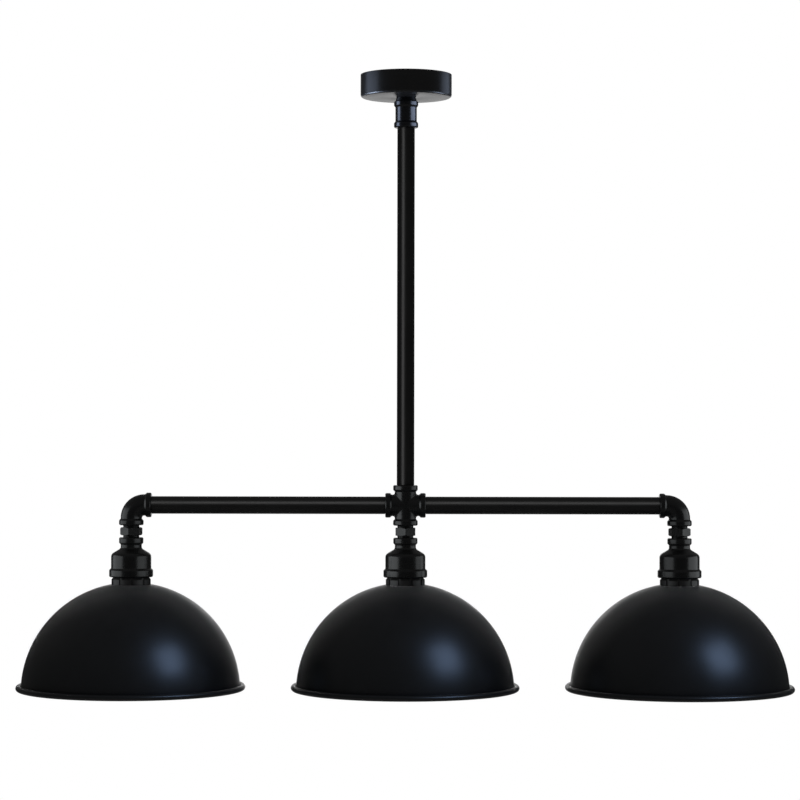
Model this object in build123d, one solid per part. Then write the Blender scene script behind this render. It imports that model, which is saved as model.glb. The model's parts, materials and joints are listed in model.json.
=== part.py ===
"""Pipe ceiling light with three domed shades.

Millimetres, +Z up. The origin is the middle of the ceiling face, the arms run along X
and +Y points away from the front. Each piece is written to parts/NAME.step.
"""
from build123d import *
import os
from math import asin, cos, pi, radians, sin, sqrt

# Pipe with half-inch threads, and its screwed joints
PIPE_OD = 23.0
PIPE_WALL = 3.5
THREAD_OD = 20.9
THREAD_GRIP = 13.0
THREAD_FIT = 0.06
SHOULDER_GAP = 0.3

# Malleable iron fittings
FITTING_REACH = 26.5
FITTING_BODY_OD = 27.6
FITTING_BORE = 17.0
BEAD_OD = 31.8
BEAD_LENGTH = 6.2
BEAD_SLOPE = 2.2
BEAD_ROUND = 1.8
CROTCH_RADIUS = 3.0
ELBOW_BEND = 17.0

# Overall layout
DROP_PIPE_LENGTH = 496.0
ARM_REACH = 360.0

# Canopy and the socket screwed up against it
CANOPY_OD = 120.0
CANOPY_HEIGHT = 30.0
CANOPY_WALL = 1.0
CANOPY_CORNER = 3.5
CANOPY_HOLE_FIT = 0.3
SOCKET_LENGTH = 40.0
SOCKET_BODY_OD = 28.2
SOCKET_COLLAR_OD = 25.0
SOCKET_COLLAR_LENGTH = 4.6

# Ceiling bracket, a bent strap with a tab for the distribution block
STRAP_THICKNESS = 2.0
STRAP_WIDTH = 26.0
STRAP_BEND = 1.5
STRAP_SPAN = 108.0
WEB_SPAN = 62.0
SLOT_SPACING = 86.0
SLOT_LENGTH = 12.0
SLOT_WIDTH = 5.2
TAB_WIDTH = 34.0
TAB_MARGIN = 2.0
LOCKNUT_FLATS = 30.0
LOCKNUT_HEIGHT = 4.0
LOCKNUT_CLEARANCE = 1.0
NIPPLE_BORE = 15.0
NIPPLE_STICKOUT = 0.5

# Distribution block and its screws
BLOCK_WIDTH = 30.0
BLOCK_DEPTH = 18.0
BLOCK_HEIGHT = 13.0
BLOCK_FRONT = 24.0
BLOCK_WAYS = 3
BLOCK_PITCH = 9.0
BLOCK_ENTRY_DEPTH = 5.0
BLOCK_ENTRY_FIT = 0.2
BLOCK_ENTRY_HEIGHT = 6.0
TERMINAL_SCREW_OD = 3.4
TERMINAL_SCREW_LENGTH = 4.0
TERMINAL_ROW_INSET = 4.0
BLOCK_SCREW_OD = 2.9
BLOCK_SCREW_HEAD_OD = 5.0
BLOCK_SCREW_HEAD_HEIGHT = 1.6
EARTH_SCREW_OD = 4.0
EARTH_SCREW_STICKOUT = 2.0
EARTH_HEAD_OD = 7.2
EARTH_HEAD_HEIGHT = 2.6
EARTH_WASHER_OD = 9.0
EARTH_WASHER_THICKNESS = 0.8
EARTH_SCREW_X = -23.0
SCREW_FIT = 0.05
DRIVER_SLOT_WIDTH = 0.8
DRIVER_SLOT_DEPTH = 0.9

# Lamp flexes
FLEX_OD = 4.0
FLEX_RING = 3.0
FLEX_CANOPY_BEND = 7.0
FLEX_CANOPY_RISE = 9.0
FLEX_ENTRY_BEND = 12.0
FLEX_ENTRY_LEAD = 6.0
FLEX_CROSS_BEND = 10.0
FLEX_ARM_LEAD = 20.0
FLEX_DRIFT_BEND = 100.0
FLEX_DRIFT = 20.0
FLEX_ELBOW_SLACK = 0.5

# Hex nipple and the hollow stud that hangs the lampholder
HEX_FLATS = 26.0
HEX_HEIGHT = 10.4
HEX_CHAMFER = 1.3
NIPPLE_NECK = 2.8
STUD_OD = 9.9
STUD_BORE = 6.4
STUD_GRIP = 10.0

# Reducer, its sizes given downwards from its top face
REDUCER_LENGTH = 52.0
REDUCER_SMALL_BEAD = 7.2
REDUCER_NECK_OD = 27.6
REDUCER_NECK_END = 14.5
REDUCER_SHOULDER_END = 22.0
REDUCER_FLARE_ROUND = 4.0
REDUCER_SHOULDER_ROUND = 6.5
REDUCER_BODY_OD = 52.6
REDUCER_LARGE_BEAD_OD = 57.5
REDUCER_LARGE_BEAD = 9.2
REDUCER_MOUTH_OD = 41.9
REDUCER_MOUTH_DEPTH = 27.5
REDUCER_CONE = 7.0

# Rings that clamp the shade on the lampholder
RING_HEIGHT = 10.0
RING_OD = 51.4
RING_TOP_OD = 46.4
RING_CHAMFER_HEIGHT = 3.0
RING_NOTCHES = 10
RING_NOTCH_WIDTH = 3.4
RING_NOTCH_DEPTH = 1.5

# Shade
SHADE_OD = 300.0
SHADE_DEPTH = 134.5
SHADE_WALL = 0.8
SHADE_SEAT_OD = 56.0
SHADE_HOLE_FIT = 0.5
RIM_BEAD = 7.6
RIM_GAP = 0.5

# Lampholder, hung inside the reducer
HOLDER_OD = 39.5
HOLDER_BELOW_SEAT = 24.0
HOLDER_SKIRT_LENGTH = 42.0
HOLDER_CAP_HEIGHT = 17.0
HOLDER_CAP_WALL = 2.5
HOLDER_CAP_EDGE = 6.5
HOLDER_CAP_ROOF = 4.5
HOLDER_BOSS_OD = 16.0
HOLDER_BOSS_HEIGHT = 5.5
INSERT_OD = 33.0
INSERT_HEIGHT = 11.0
INSERT_FIT = 0.1
SHELL_BORE = 26.8
SHELL_WALL = 0.6
SHELL_LENGTH = 27.0
SHELL_FIT = 0.1
CONTACT_DROP = 3.5
CONTACT_STRIP = 0.8
CONTACT_WIDTH = 5.0
CONTACT_REACH = 9.0

# Lamp with a screw cap and an opal glass
LAMP_LENGTH = 106.0
LAMP_OD = 60.0
LAMP_GAP = 0.3
CAP_LENGTH = 26.5
CAP_OD = 26.2
CAP_THREAD_PITCH = 3.6
CAP_THREAD_TURNS = 5
CAP_THREAD_DEPTH = 1.0
CAP_TIP_OD = 9.0
CAP_TIP_HEIGHT = 1.2
CAP_CONE_HEIGHT = 4.0
CAP_WALL = 0.6
GLASS_NECK_LENGTH = 8.0
GLASS_TUCK = 4.0
GLASS_FIT = 0.25
GLASS_WALL = 0.8

# How far each hex nipple and ring has been turned when it was tightened, in degrees
LAMPS = (
    ("left", -ARM_REACH, -10.0),
    ("middle", 0.0, 0.0),
    ("right", ARM_REACH, 10.0),
)

# Radii and levels that follow from the sizes above
THREAD_R = THREAD_OD / 2
TAPPED_R = THREAD_R + THREAD_FIT
PIPE_BORE_R = PIPE_OD / 2 - PIPE_WALL
FLEX_R = FLEX_OD / 2

CANOPY_FLOOR = -CANOPY_HEIGHT
SOCKET_BOTTOM = CANOPY_FLOOR - SOCKET_LENGTH
NIPPLE_BOTTOM = CANOPY_FLOOR - THREAD_GRIP
DROP_TOP = SOCKET_BOTTOM + THREAD_GRIP
DROP_BOTTOM = DROP_TOP - DROP_PIPE_LENGTH
ARM_LEVEL = DROP_BOTTOM + THREAD_GRIP - FITTING_REACH
ARM_PIPE_LENGTH = ARM_REACH - 2 * (FITTING_REACH - THREAD_GRIP)
ARM_START = FITTING_REACH - THREAD_GRIP
ARM_END = ARM_START + ARM_PIPE_LENGTH
DROP_SPLIT = (NIPPLE_BOTTOM + DROP_TOP) / 2

WEB_BOTTOM = CANOPY_FLOOR + CANOPY_WALL + LOCKNUT_CLEARANCE + LOCKNUT_HEIGHT
WEB_TOP = WEB_BOTTOM + STRAP_THICKNESS
NIPPLE_TOP = WEB_TOP + LOCKNUT_HEIGHT + NIPPLE_STICKOUT
BLOCK_TOP = WEB_TOP + BLOCK_HEIGHT
BLOCK_BACK = BLOCK_FRONT + BLOCK_DEPTH

# Levels on a lamp, measured from the arm's axis
NIPPLE_LENGTH = 2 * NIPPLE_NECK + HEX_HEIGHT
HEX_TOP = -FITTING_REACH - NIPPLE_NECK
REDUCER_TOP = -FITTING_REACH - NIPPLE_LENGTH
REDUCER_BOTTOM = REDUCER_TOP - REDUCER_LENGTH
SHADE_SEAT = REDUCER_BOTTOM - RING_HEIGHT
SHADE_RIM = SHADE_SEAT - SHADE_DEPTH
HOLDER_MOUTH = SHADE_SEAT - HOLDER_BELOW_SEAT
SKIRT_TOP = HOLDER_MOUTH + HOLDER_SKIRT_LENGTH
CAP_TOP = SKIRT_TOP + HOLDER_CAP_HEIGHT
CAP_ROOF = SKIRT_TOP + HOLDER_CAP_ROOF
INSERT_BOTTOM = SKIRT_TOP - INSERT_HEIGHT
STUD_TOP = REDUCER_TOP - THREAD_GRIP + STUD_GRIP
LAMP_TIP = INSERT_BOTTOM - CONTACT_DROP - LAMP_GAP
LAMP_CAP_BOTTOM = LAMP_TIP - CAP_LENGTH
LAMP_END = LAMP_TIP - LAMP_LENGTH


def turned(points, radii=None):
    """Solid turned about Z from a closed (radius, level) outline with rounded corners."""
    if radii:
        outline = FilletPolyline(*points, radius=radii, close=True)
    else:
        outline = Polyline(*points, close=True)
    return revolve(Plane.XZ * make_face(outline), Axis.Z)


def rod(radius, low, high):
    """Solid cylinder on Z between two levels."""
    return Pos(0, 0, (low + high) / 2) * Cylinder(radius, high - low)


def tube(outer, inner, low, high):
    """Hollow cylinder on Z between two levels."""
    return rod(outer, low, high) - rod(inner, low, high)


def along_x(shape):
    """Lay a shape that stands on +Z along +X."""
    return Rot(0, 90, 0) * shape


def upside_down(shape):
    """Turn a shape that stands on +Z so that it points down."""
    return Rot(180, 0, 0) * shape


def hexagon(flats, low, high, chamfer, turn):
    """Hexagonal prism on Z with both ends chamfered, a corner at the front before turning."""
    sketch = RegularPolygon(flats / 2, 6, major_radius=False, rotation=turn + 30)
    prism = Pos(0, 0, low) * extrude(sketch, high - low)
    corner = flats / sqrt(3)
    edge = corner - chamfer * sqrt(3)
    lathe = turned([(0, low), (edge, low), (corner, low + chamfer), (corner, high - chamfer),
                    (edge, high), (0, high)])
    return prism & lathe


def flex(points, radii):
    """Round flex along straight runs joined by arcs; prints a volume check."""
    path = FilletPolyline(*points, radius=radii)
    section = Plane(origin=path @ 0, z_dir=path % 0) * Circle(FLEX_R)
    solid = sweep(section, path=path)
    print(f"flex {path.length:.1f} mm, volume ratio {solid.volume / (pi * FLEX_R**2 * path.length):.4f}")
    return solid


# Pipes and fittings

def pipe(length):
    """Pipe standing on Z from 0 to its length, with a threaded spigot at both ends."""
    spigot = THREAD_GRIP + SHOULDER_GAP
    outside = rod(THREAD_R, 0, length) + rod(PIPE_OD / 2, spigot, length - spigot)
    return outside - rod(PIPE_BORE_R, 0, length)


def fitting_leg():
    """Outside of one leg of a fitting, from its middle up to its beaded face."""
    body = FITTING_BODY_OD / 2
    bead = BEAD_OD / 2
    bead_start = FITTING_REACH - BEAD_LENGTH
    points = [(0, 0), (body, 0), (body, bead_start - BEAD_SLOPE), (bead, bead_start),
              (bead, FITTING_REACH), (0, FITTING_REACH)]
    return turned(points, [0, 0, BEAD_ROUND, BEAD_ROUND, BEAD_ROUND, 0])


def tapped_leg():
    """Hollow of one leg: the tapped mouth and the bore behind it."""
    return rod(TAPPED_R, FITTING_REACH - THREAD_GRIP, FITTING_REACH) + rod(FITTING_BORE / 2, 0, FITTING_REACH)


def cross_fitting():
    """Four-way fitting with rounded crotches."""
    body = FITTING_BODY_OD / 2
    straight = FITTING_REACH - BEAD_LENGTH - BEAD_SLOPE
    upright = rod(body, -straight, straight)
    outside = upright + along_x(upright)
    crotches = outside.edges().filter_by(lambda edge: edge.geom_type != GeomType.CIRCLE
                                         and edge.geom_type != GeomType.LINE)
    outside = fillet(crotches, CROTCH_RADIUS)
    hollow = None
    for turn in (0, 90, 180, 270):
        leg = Rot(0, turn, 0) * fitting_leg()
        bore = Rot(0, turn, 0) * tapped_leg()
        outside += leg
        hollow = bore if hollow is None else hollow + bore
    return outside - hollow


def bend(radius):
    """Quarter bend of a round bar from the +X leg to the -Z leg of an elbow."""
    section = Plane(origin=(ELBOW_BEND, 0, 0), z_dir=(1, 0, 0)) * Circle(radius)
    pivot = Axis((ELBOW_BEND, 0, -ELBOW_BEND), (0, -1, 0))
    return revolve(section, pivot, 90)


def elbow():
    """Elbow whose legs point along +X and down."""
    body = FITTING_BODY_OD / 2
    legs = fitting_leg() - rod(BEAD_OD, 0, ELBOW_BEND)
    bores = tapped_leg() - rod(BEAD_OD, 0, min(ELBOW_BEND, FITTING_REACH - THREAD_GRIP))
    outside = bend(body) + along_x(legs) + upside_down(legs)
    return outside - bend(FITTING_BORE / 2) - along_x(bores) - upside_down(bores)


# Ceiling mount

def ceiling_bracket():
    """Strap with slotted feet on the ceiling, a lowered web for the nipple and a tab."""
    foot_end = STRAP_SPAN / 2
    leg_out = WEB_SPAN / 2
    leg_in = leg_out - STRAP_THICKNESS
    under = -STRAP_THICKNESS
    inner = STRAP_BEND
    outer = STRAP_BEND + STRAP_THICKNESS
    right = [(leg_in, WEB_TOP), (leg_in, 0), (foot_end, 0), (foot_end, under), (leg_out, under),
             (leg_out, WEB_BOTTOM)]
    right_radii = [inner, outer, 0, 0, inner, outer]
    left = [(-x, z) for x, z in reversed(right)]
    outline = FilletPolyline(*right, *left, radius=right_radii + right_radii[::-1], close=True)
    strap = extrude(Plane.XZ * make_face(outline), STRAP_WIDTH / 2, both=True)
    tab_end = BLOCK_BACK + TAB_MARGIN
    tab = Pos(0, tab_end / 2, (WEB_TOP + WEB_BOTTOM) / 2) * Box(TAB_WIDTH, tab_end, STRAP_THICKNESS)
    bracket = strap + tab - rod(TAPPED_R, WEB_BOTTOM, WEB_TOP)
    slot = extrude(SlotOverall(SLOT_LENGTH, SLOT_WIDTH), STRAP_THICKNESS, both=True)
    for side in (-1, 1):
        bracket -= Pos(side * SLOT_SPACING / 2, 0, 0) * slot
    bracket -= Pos(EARTH_SCREW_X, 0, 0) * rod(EARTH_SCREW_OD / 2 + SCREW_FIT, WEB_BOTTOM, WEB_TOP)
    for x, y in block_screw_places():
        bracket -= Pos(x, y, 0) * rod(BLOCK_SCREW_OD / 2 + SCREW_FIT, WEB_BOTTOM, WEB_TOP)
    return bracket


def canopy():
    """Thin cup, open at the ceiling, with a hole for the nipple in its floor."""
    radius = CANOPY_OD / 2
    hole = THREAD_R + CANOPY_HOLE_FIT
    wall = CANOPY_WALL
    points = [(hole, CANOPY_FLOOR), (radius, CANOPY_FLOOR), (radius, 0), (radius - wall, 0),
              (radius - wall, CANOPY_FLOOR + wall), (hole, CANOPY_FLOOR + wall)]
    return turned(points, [0, CANOPY_CORNER, 0, 0, CANOPY_CORNER - wall, 0])


def canopy_nipple():
    """Hollow threaded tube from the bracket through the canopy into the socket."""
    return tube(THREAD_R, NIPPLE_BORE / 2, NIPPLE_BOTTOM, NIPPLE_TOP)


def bracket_locknuts():
    """One locknut on each side of the bracket's web."""
    nuts = []
    for low in (WEB_TOP, WEB_BOTTOM - LOCKNUT_HEIGHT):
        high = low + LOCKNUT_HEIGHT
        nuts.append(hexagon(LOCKNUT_FLATS, low, high, HEX_CHAMFER, 0) - rod(TAPPED_R, low, high))
    return Compound(nuts)


def drop_socket():
    """Beaded socket that holds the canopy up and takes the drop pipe."""
    body = SOCKET_BODY_OD / 2
    bead = BEAD_OD / 2
    collar = SOCKET_COLLAR_OD / 2
    top = CANOPY_FLOOR
    upper = top - SOCKET_COLLAR_LENGTH
    lower = SOCKET_BOTTOM + BEAD_LENGTH
    points = [(0, top), (collar, top), (body, upper), (bead, upper - BEAD_SLOPE / 2),
              (bead, upper - BEAD_LENGTH), (body, upper - BEAD_LENGTH - BEAD_SLOPE),
              (body, lower + BEAD_SLOPE), (bead, lower), (bead, SOCKET_BOTTOM), (0, SOCKET_BOTTOM)]
    soft = BEAD_ROUND / 2
    outside = turned(points, [0, soft, soft, soft, BEAD_ROUND, BEAD_ROUND, BEAD_ROUND, BEAD_ROUND,
                              BEAD_ROUND, 0])
    mouths = rod(TAPPED_R, NIPPLE_BOTTOM, top) + rod(TAPPED_R, SOCKET_BOTTOM, DROP_TOP)
    return outside - mouths - rod(FITTING_BORE / 2, SOCKET_BOTTOM, top)


def way_places():
    """X of each way of the distribution block."""
    middle = (BLOCK_WAYS - 1) / 2
    return [(way - middle) * BLOCK_PITCH for way in range(BLOCK_WAYS)]


def terminal_places():
    """X and Y of the terminal screws, one at the front and one at the back of each way."""
    rows = (BLOCK_FRONT + TERMINAL_ROW_INSET, BLOCK_BACK - TERMINAL_ROW_INSET)
    return [(x, y) for x in way_places() for y in rows]


def block_screw_places():
    """X and Y of the two fixing screws, between the ways."""
    y = (BLOCK_FRONT + BLOCK_BACK) / 2
    return [(side * BLOCK_PITCH / 2, y) for side in (-1, 1)]


def distribution_block():
    """Block with an entry at the front and back of each way and screw wells on top."""
    middle = (BLOCK_FRONT + BLOCK_BACK) / 2
    block = Pos(0, middle, (WEB_TOP + BLOCK_TOP) / 2) * Box(BLOCK_WIDTH, BLOCK_DEPTH, BLOCK_HEIGHT)
    block = chamfer(block.edges().filter_by(Axis.Z), HEX_CHAMFER)
    entry_level = WEB_TOP + BLOCK_ENTRY_HEIGHT
    entry = Rot(90, 0, 0) * Cylinder(FLEX_R + BLOCK_ENTRY_FIT, 2 * BLOCK_ENTRY_DEPTH)
    for x in way_places():
        block -= Pos(x, BLOCK_FRONT, entry_level) * entry
        block -= Pos(x, BLOCK_BACK, entry_level) * entry
    well = rod(TERMINAL_SCREW_OD / 2 + SCREW_FIT, BLOCK_TOP - TERMINAL_SCREW_LENGTH, BLOCK_TOP)
    for x, y in terminal_places():
        block -= Pos(x, y, 0) * well
    for x, y in block_screw_places():
        block -= Pos(x, y, 0) * rod(BLOCK_SCREW_OD / 2 + SCREW_FIT, WEB_TOP, BLOCK_TOP)
    return block


def driver_slot(width, top):
    """Slot for a flat screwdriver, cut down from a screw's top."""
    return Pos(0, 0, top - DRIVER_SLOT_DEPTH / 2) * Box(width, DRIVER_SLOT_WIDTH, DRIVER_SLOT_DEPTH)


def terminal_screws():
    """Grub screws of the distribution block, flush with its top."""
    screw = rod(TERMINAL_SCREW_OD / 2, BLOCK_TOP - TERMINAL_SCREW_LENGTH, BLOCK_TOP)
    screw -= driver_slot(TERMINAL_SCREW_OD, BLOCK_TOP)
    return Compound([Pos(x, y, 0) * screw for x, y in terminal_places()])


def block_screws():
    """Screws that hold the distribution block on the bracket's tab."""
    top = BLOCK_TOP + BLOCK_SCREW_HEAD_HEIGHT
    screw = rod(BLOCK_SCREW_OD / 2, WEB_BOTTOM, BLOCK_TOP) + rod(BLOCK_SCREW_HEAD_OD / 2, BLOCK_TOP, top)
    screw -= driver_slot(BLOCK_SCREW_HEAD_OD, top)
    return Compound([Pos(x, y, 0) * screw for x, y in block_screw_places()])


def earth_screw():
    """Earth terminal on the bracket's web: a screw over a washer."""
    seat = WEB_TOP + EARTH_WASHER_THICKNESS
    top = seat + EARTH_HEAD_HEIGHT
    screw = rod(EARTH_SCREW_OD / 2, WEB_BOTTOM - EARTH_SCREW_STICKOUT, seat)
    screw += rod(EARTH_HEAD_OD / 2, seat, top)
    screw -= driver_slot(EARTH_HEAD_OD, top)
    washer = tube(EARTH_WASHER_OD / 2, EARTH_SCREW_OD / 2 + SCREW_FIT, WEB_TOP, seat)
    return Pos(EARTH_SCREW_X, 0, 0) * Compound([screw, washer])


# Lamp flexes

def flex_place(name):
    """X and Y of a lamp's flex in the drop pipe, the three standing in a triangle."""
    angle = radians({"left": 150, "right": 30, "middle": 270}[name])
    return FLEX_RING * cos(angle), FLEX_RING * sin(angle)


def canopy_flexes():
    """Flexes in the canopy, from the distribution block over and down into the nipple."""
    level = WEB_TOP + BLOCK_ENTRY_HEIGHT
    flexes = []
    for (name, _, _), way_x in zip(LAMPS, way_places()):
        x, y = flex_place(name)
        points = [(x, y, DROP_SPLIT), (x, y, NIPPLE_TOP + FLEX_CANOPY_RISE),
                  (way_x, BLOCK_FRONT - FLEX_ENTRY_LEAD, level),
                  (way_x, BLOCK_FRONT + BLOCK_ENTRY_DEPTH, level)]
        flexes.append(flex(points, [FLEX_CANOPY_BEND, FLEX_ENTRY_BEND]).solid())
    return Compound(flexes)


def arm_flex(name, side):
    """Flex from the swivel under the canopy, down the drop pipe and out along an arm."""
    x, y = flex_place(name)
    points = [(x, y, DROP_SPLIT), (x, y, ARM_LEVEL), (side * (ARM_END - FLEX_ARM_LEAD), 0, ARM_LEVEL),
              (side * ARM_END, 0, ARM_LEVEL)]
    return flex(points, [FLEX_CROSS_BEND, FLEX_DRIFT_BEND])


def middle_flex():
    """Flex straight down through the cross to the middle lampholder."""
    x, y = flex_place("middle")
    points = [(x, y, DROP_SPLIT), (x, y, ARM_LEVEL + FLEX_DRIFT), (0, 0, ARM_LEVEL - FLEX_DRIFT),
              (0, 0, ARM_LEVEL + SKIRT_TOP)]
    return flex(points, [FLEX_DRIFT_BEND, FLEX_DRIFT_BEND])


def elbow_flex(x, side):
    """Flex from the end of an arm through its elbow to the lampholder."""
    points = [(side * ARM_END, 0, ARM_LEVEL), (x, 0, ARM_LEVEL), (x, 0, ARM_LEVEL + SKIRT_TOP)]
    return flex(points, [ARM_START - FLEX_ELBOW_SLACK])


# One lamp, its levels measured from the arm's axis

def hex_nipple(turn):
    """Nipple with a hexagon between its two threads, tapped through for the stud."""
    low = REDUCER_TOP - THREAD_GRIP
    high = -FITTING_REACH + THREAD_GRIP
    nipple = rod(THREAD_R, low, high) + hexagon(HEX_FLATS, HEX_TOP - HEX_HEIGHT, HEX_TOP, HEX_CHAMFER, turn)
    return nipple - rod(STUD_OD / 2 + THREAD_FIT, low, high)


def holder_stud():
    """Hollow stud from the hex nipple to the lampholder's cap."""
    return tube(STUD_OD / 2, STUD_BORE / 2, CAP_ROOF, STUD_TOP)


def reducer():
    """Reducing socket, narrow and beaded at the top, wide and beaded at the bottom."""
    bead = BEAD_OD / 2
    neck = REDUCER_NECK_OD / 2
    body = REDUCER_BODY_OD / 2
    large = REDUCER_LARGE_BEAD_OD / 2
    top = REDUCER_TOP
    bottom = REDUCER_BOTTOM
    points = [(0, top), (bead, top), (bead, top - REDUCER_SMALL_BEAD),
              (neck, top - REDUCER_SMALL_BEAD - BEAD_SLOPE), (neck, top - REDUCER_NECK_END),
              (body, top - REDUCER_SHOULDER_END), (body, bottom + REDUCER_LARGE_BEAD + BEAD_SLOPE),
              (large, bottom + REDUCER_LARGE_BEAD), (large, bottom), (0, bottom)]
    flare = REDUCER_FLARE_ROUND
    shoulder = REDUCER_SHOULDER_ROUND
    outside = turned(points, [0, BEAD_ROUND, BEAD_ROUND, BEAD_ROUND, flare, shoulder, BEAD_ROUND, BEAD_ROUND,
                              BEAD_ROUND, 0])
    mouth = REDUCER_MOUTH_OD / 2
    bore = FITTING_BORE / 2
    roof = bottom + REDUCER_MOUTH_DEPTH
    cavity = turned([(0, bottom), (mouth, bottom), (mouth, roof), (bore, roof + REDUCER_CONE), (bore, top),
                     (0, top)])
    return outside - cavity - rod(TAPPED_R, top - THREAD_GRIP, top)


def shade_ring(turn):
    """Notched ring, chamfered at its top, standing on Z from 0 to its height."""
    bore = HOLDER_OD / 2 + THREAD_FIT
    radius = RING_OD / 2
    ring = turned([(bore, 0), (radius, 0), (radius, RING_HEIGHT - RING_CHAMFER_HEIGHT),
                   (RING_TOP_OD / 2, RING_HEIGHT), (bore, RING_HEIGHT)])
    notch = Pos(radius, 0, RING_HEIGHT / 2) * Box(2 * RING_NOTCH_DEPTH, RING_NOTCH_WIDTH, RING_HEIGHT)
    for index in range(RING_NOTCHES):
        ring -= Rot(0, 0, turn + index * 360 / RING_NOTCHES) * notch
    return ring


def arc_about(centre, radius, start, end):
    """Arc of a circle on the Z axis, between two (radius, level) points that lie on it."""
    first = asin(start[0] / radius)
    last = asin(end[0] / radius)
    halfway = (first + last) / 2
    return ThreePointArc(start, (radius * sin(halfway), centre + radius * cos(halfway)), end)


def shade():
    """Domed shade: flat seat, a dome that is part of a ball, and a rim rolled outwards."""
    hole = HOLDER_OD / 2 + SHADE_HOLE_FIT
    seat = SHADE_SEAT_OD / 2
    roll = RIM_BEAD / 2
    bead_centre = SHADE_OD / 2 - roll
    edge = bead_centre - roll + SHADE_WALL
    drop = (edge**2 + SHADE_DEPTH**2 - seat**2) / (2 * SHADE_DEPTH)
    ball = sqrt(seat**2 + drop**2)
    inner = ball - SHADE_WALL
    centre = SHADE_SEAT - drop
    under = SHADE_SEAT - SHADE_WALL
    inner_seat = sqrt(inner**2 - (under - centre)**2)
    inner_edge = sqrt(inner**2 - (SHADE_RIM - centre)**2)
    outline = Curve() + [
        Line((hole, SHADE_SEAT), (seat, SHADE_SEAT)),
        arc_about(centre, ball, (seat, SHADE_SEAT), (edge, SHADE_RIM)),
        Line((edge, SHADE_RIM), (inner_edge, SHADE_RIM)),
        arc_about(centre, inner, (inner_edge, SHADE_RIM), (inner_seat, under)),
        Line((inner_seat, under), (hole, under)),
        Line((hole, under), (hole, SHADE_SEAT)),
    ]
    curl = Pos(bead_centre, SHADE_RIM) * (Circle(roll) - Circle(roll - SHADE_WALL))
    slit = Pos(edge + RIM_GAP / 2, SHADE_RIM + roll / 2) * Rectangle(RIM_GAP, roll)
    section = make_face(outline) + (curl - slit)
    return revolve(Plane.XZ * section, Axis.Z)


def holder_cap():
    """Domed top of the lampholder, tapped for the stud and hollow for the wires."""
    radius = HOLDER_OD / 2
    boss = HOLDER_BOSS_OD / 2
    outside = turned([(0, SKIRT_TOP), (radius, SKIRT_TOP), (radius, SKIRT_TOP + HOLDER_CAP_EDGE),
                      (boss, CAP_TOP - HOLDER_BOSS_HEIGHT), (boss, CAP_TOP), (0, CAP_TOP)],
                     [0, 0, HOLDER_CAP_WALL, HOLDER_CAP_WALL / 2, HEX_CHAMFER, 0])
    room = rod(radius - HOLDER_CAP_WALL, SKIRT_TOP, CAP_ROOF)
    return outside - room - rod(STUD_OD / 2 + THREAD_FIT, SKIRT_TOP, CAP_TOP)


def holder_skirt():
    """Threaded skirt of the lampholder, stepped inside to hold the insert."""
    skirt = rod(HOLDER_OD / 2, HOLDER_MOUTH, SKIRT_TOP)
    skirt -= rod(SHELL_BORE / 2 + SHELL_WALL + SHELL_FIT, HOLDER_MOUTH, SKIRT_TOP)
    return skirt - rod(INSERT_OD / 2 + INSERT_FIT, INSERT_BOTTOM, SKIRT_TOP)


def holder_insert():
    """Ceramic disc that carries the contacts."""
    return rod(INSERT_OD / 2, INSERT_BOTTOM, SKIRT_TOP)


def screw_shell():
    """Brass shell that the lamp screws into."""
    return tube(SHELL_BORE / 2 + SHELL_WALL, SHELL_BORE / 2, INSERT_BOTTOM - SHELL_LENGTH, INSERT_BOTTOM)


def centre_contact():
    """Sprung strip under the insert, bent down to the lamp's tip."""
    strip = CONTACT_STRIP
    top = INSERT_BOTTOM
    low = INSERT_BOTTOM - CONTACT_DROP
    knee = CONTACT_REACH / 2
    tip = knee - CONTACT_DROP + strip
    points = [(-CONTACT_REACH, top), (-knee, top), (-tip, low + strip), (knee, low + strip), (knee, low),
              (-tip - strip / 2, low), (-knee - strip / 2, top - strip), (-CONTACT_REACH, top - strip)]
    return extrude(Plane.XZ * make_face(Polyline(*points, close=True)), CONTACT_WIDTH / 2, both=True)


def lamp_cap():
    """Screw cap of a lamp: tip, insulating cone, rounded thread and plain skirt."""
    radius = CAP_OD / 2
    root = radius - CAP_THREAD_DEPTH
    tip = CAP_TIP_OD / 2
    cone_top = LAMP_TIP - CAP_TIP_HEIGHT
    thread_top = cone_top - CAP_CONE_HEIGHT
    outline = [Line((0, LAMP_TIP), (tip, LAMP_TIP)), Line((tip, LAMP_TIP), (tip, cone_top)),
               Line((tip, cone_top), (root, thread_top))]
    for turn in range(CAP_THREAD_TURNS):
        top = thread_top - turn * CAP_THREAD_PITCH
        low = top - CAP_THREAD_PITCH
        outline.append(ThreePointArc((root, top), (radius, (top + low) / 2), (root, low)))
    thread_end = thread_top - CAP_THREAD_TURNS * CAP_THREAD_PITCH
    pocket = radius - CAP_WALL
    roof = LAMP_CAP_BOTTOM + GLASS_TUCK
    corners = [(root, thread_end), (radius, thread_end), (radius, LAMP_CAP_BOTTOM), (pocket, LAMP_CAP_BOTTOM),
               (pocket, roof), (0, roof), (0, LAMP_TIP)]
    outline += [Line(a, b) for a, b in zip(corners, corners[1:])]
    return revolve(Plane.XZ * make_face(Curve() + outline), Axis.Z)


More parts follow.
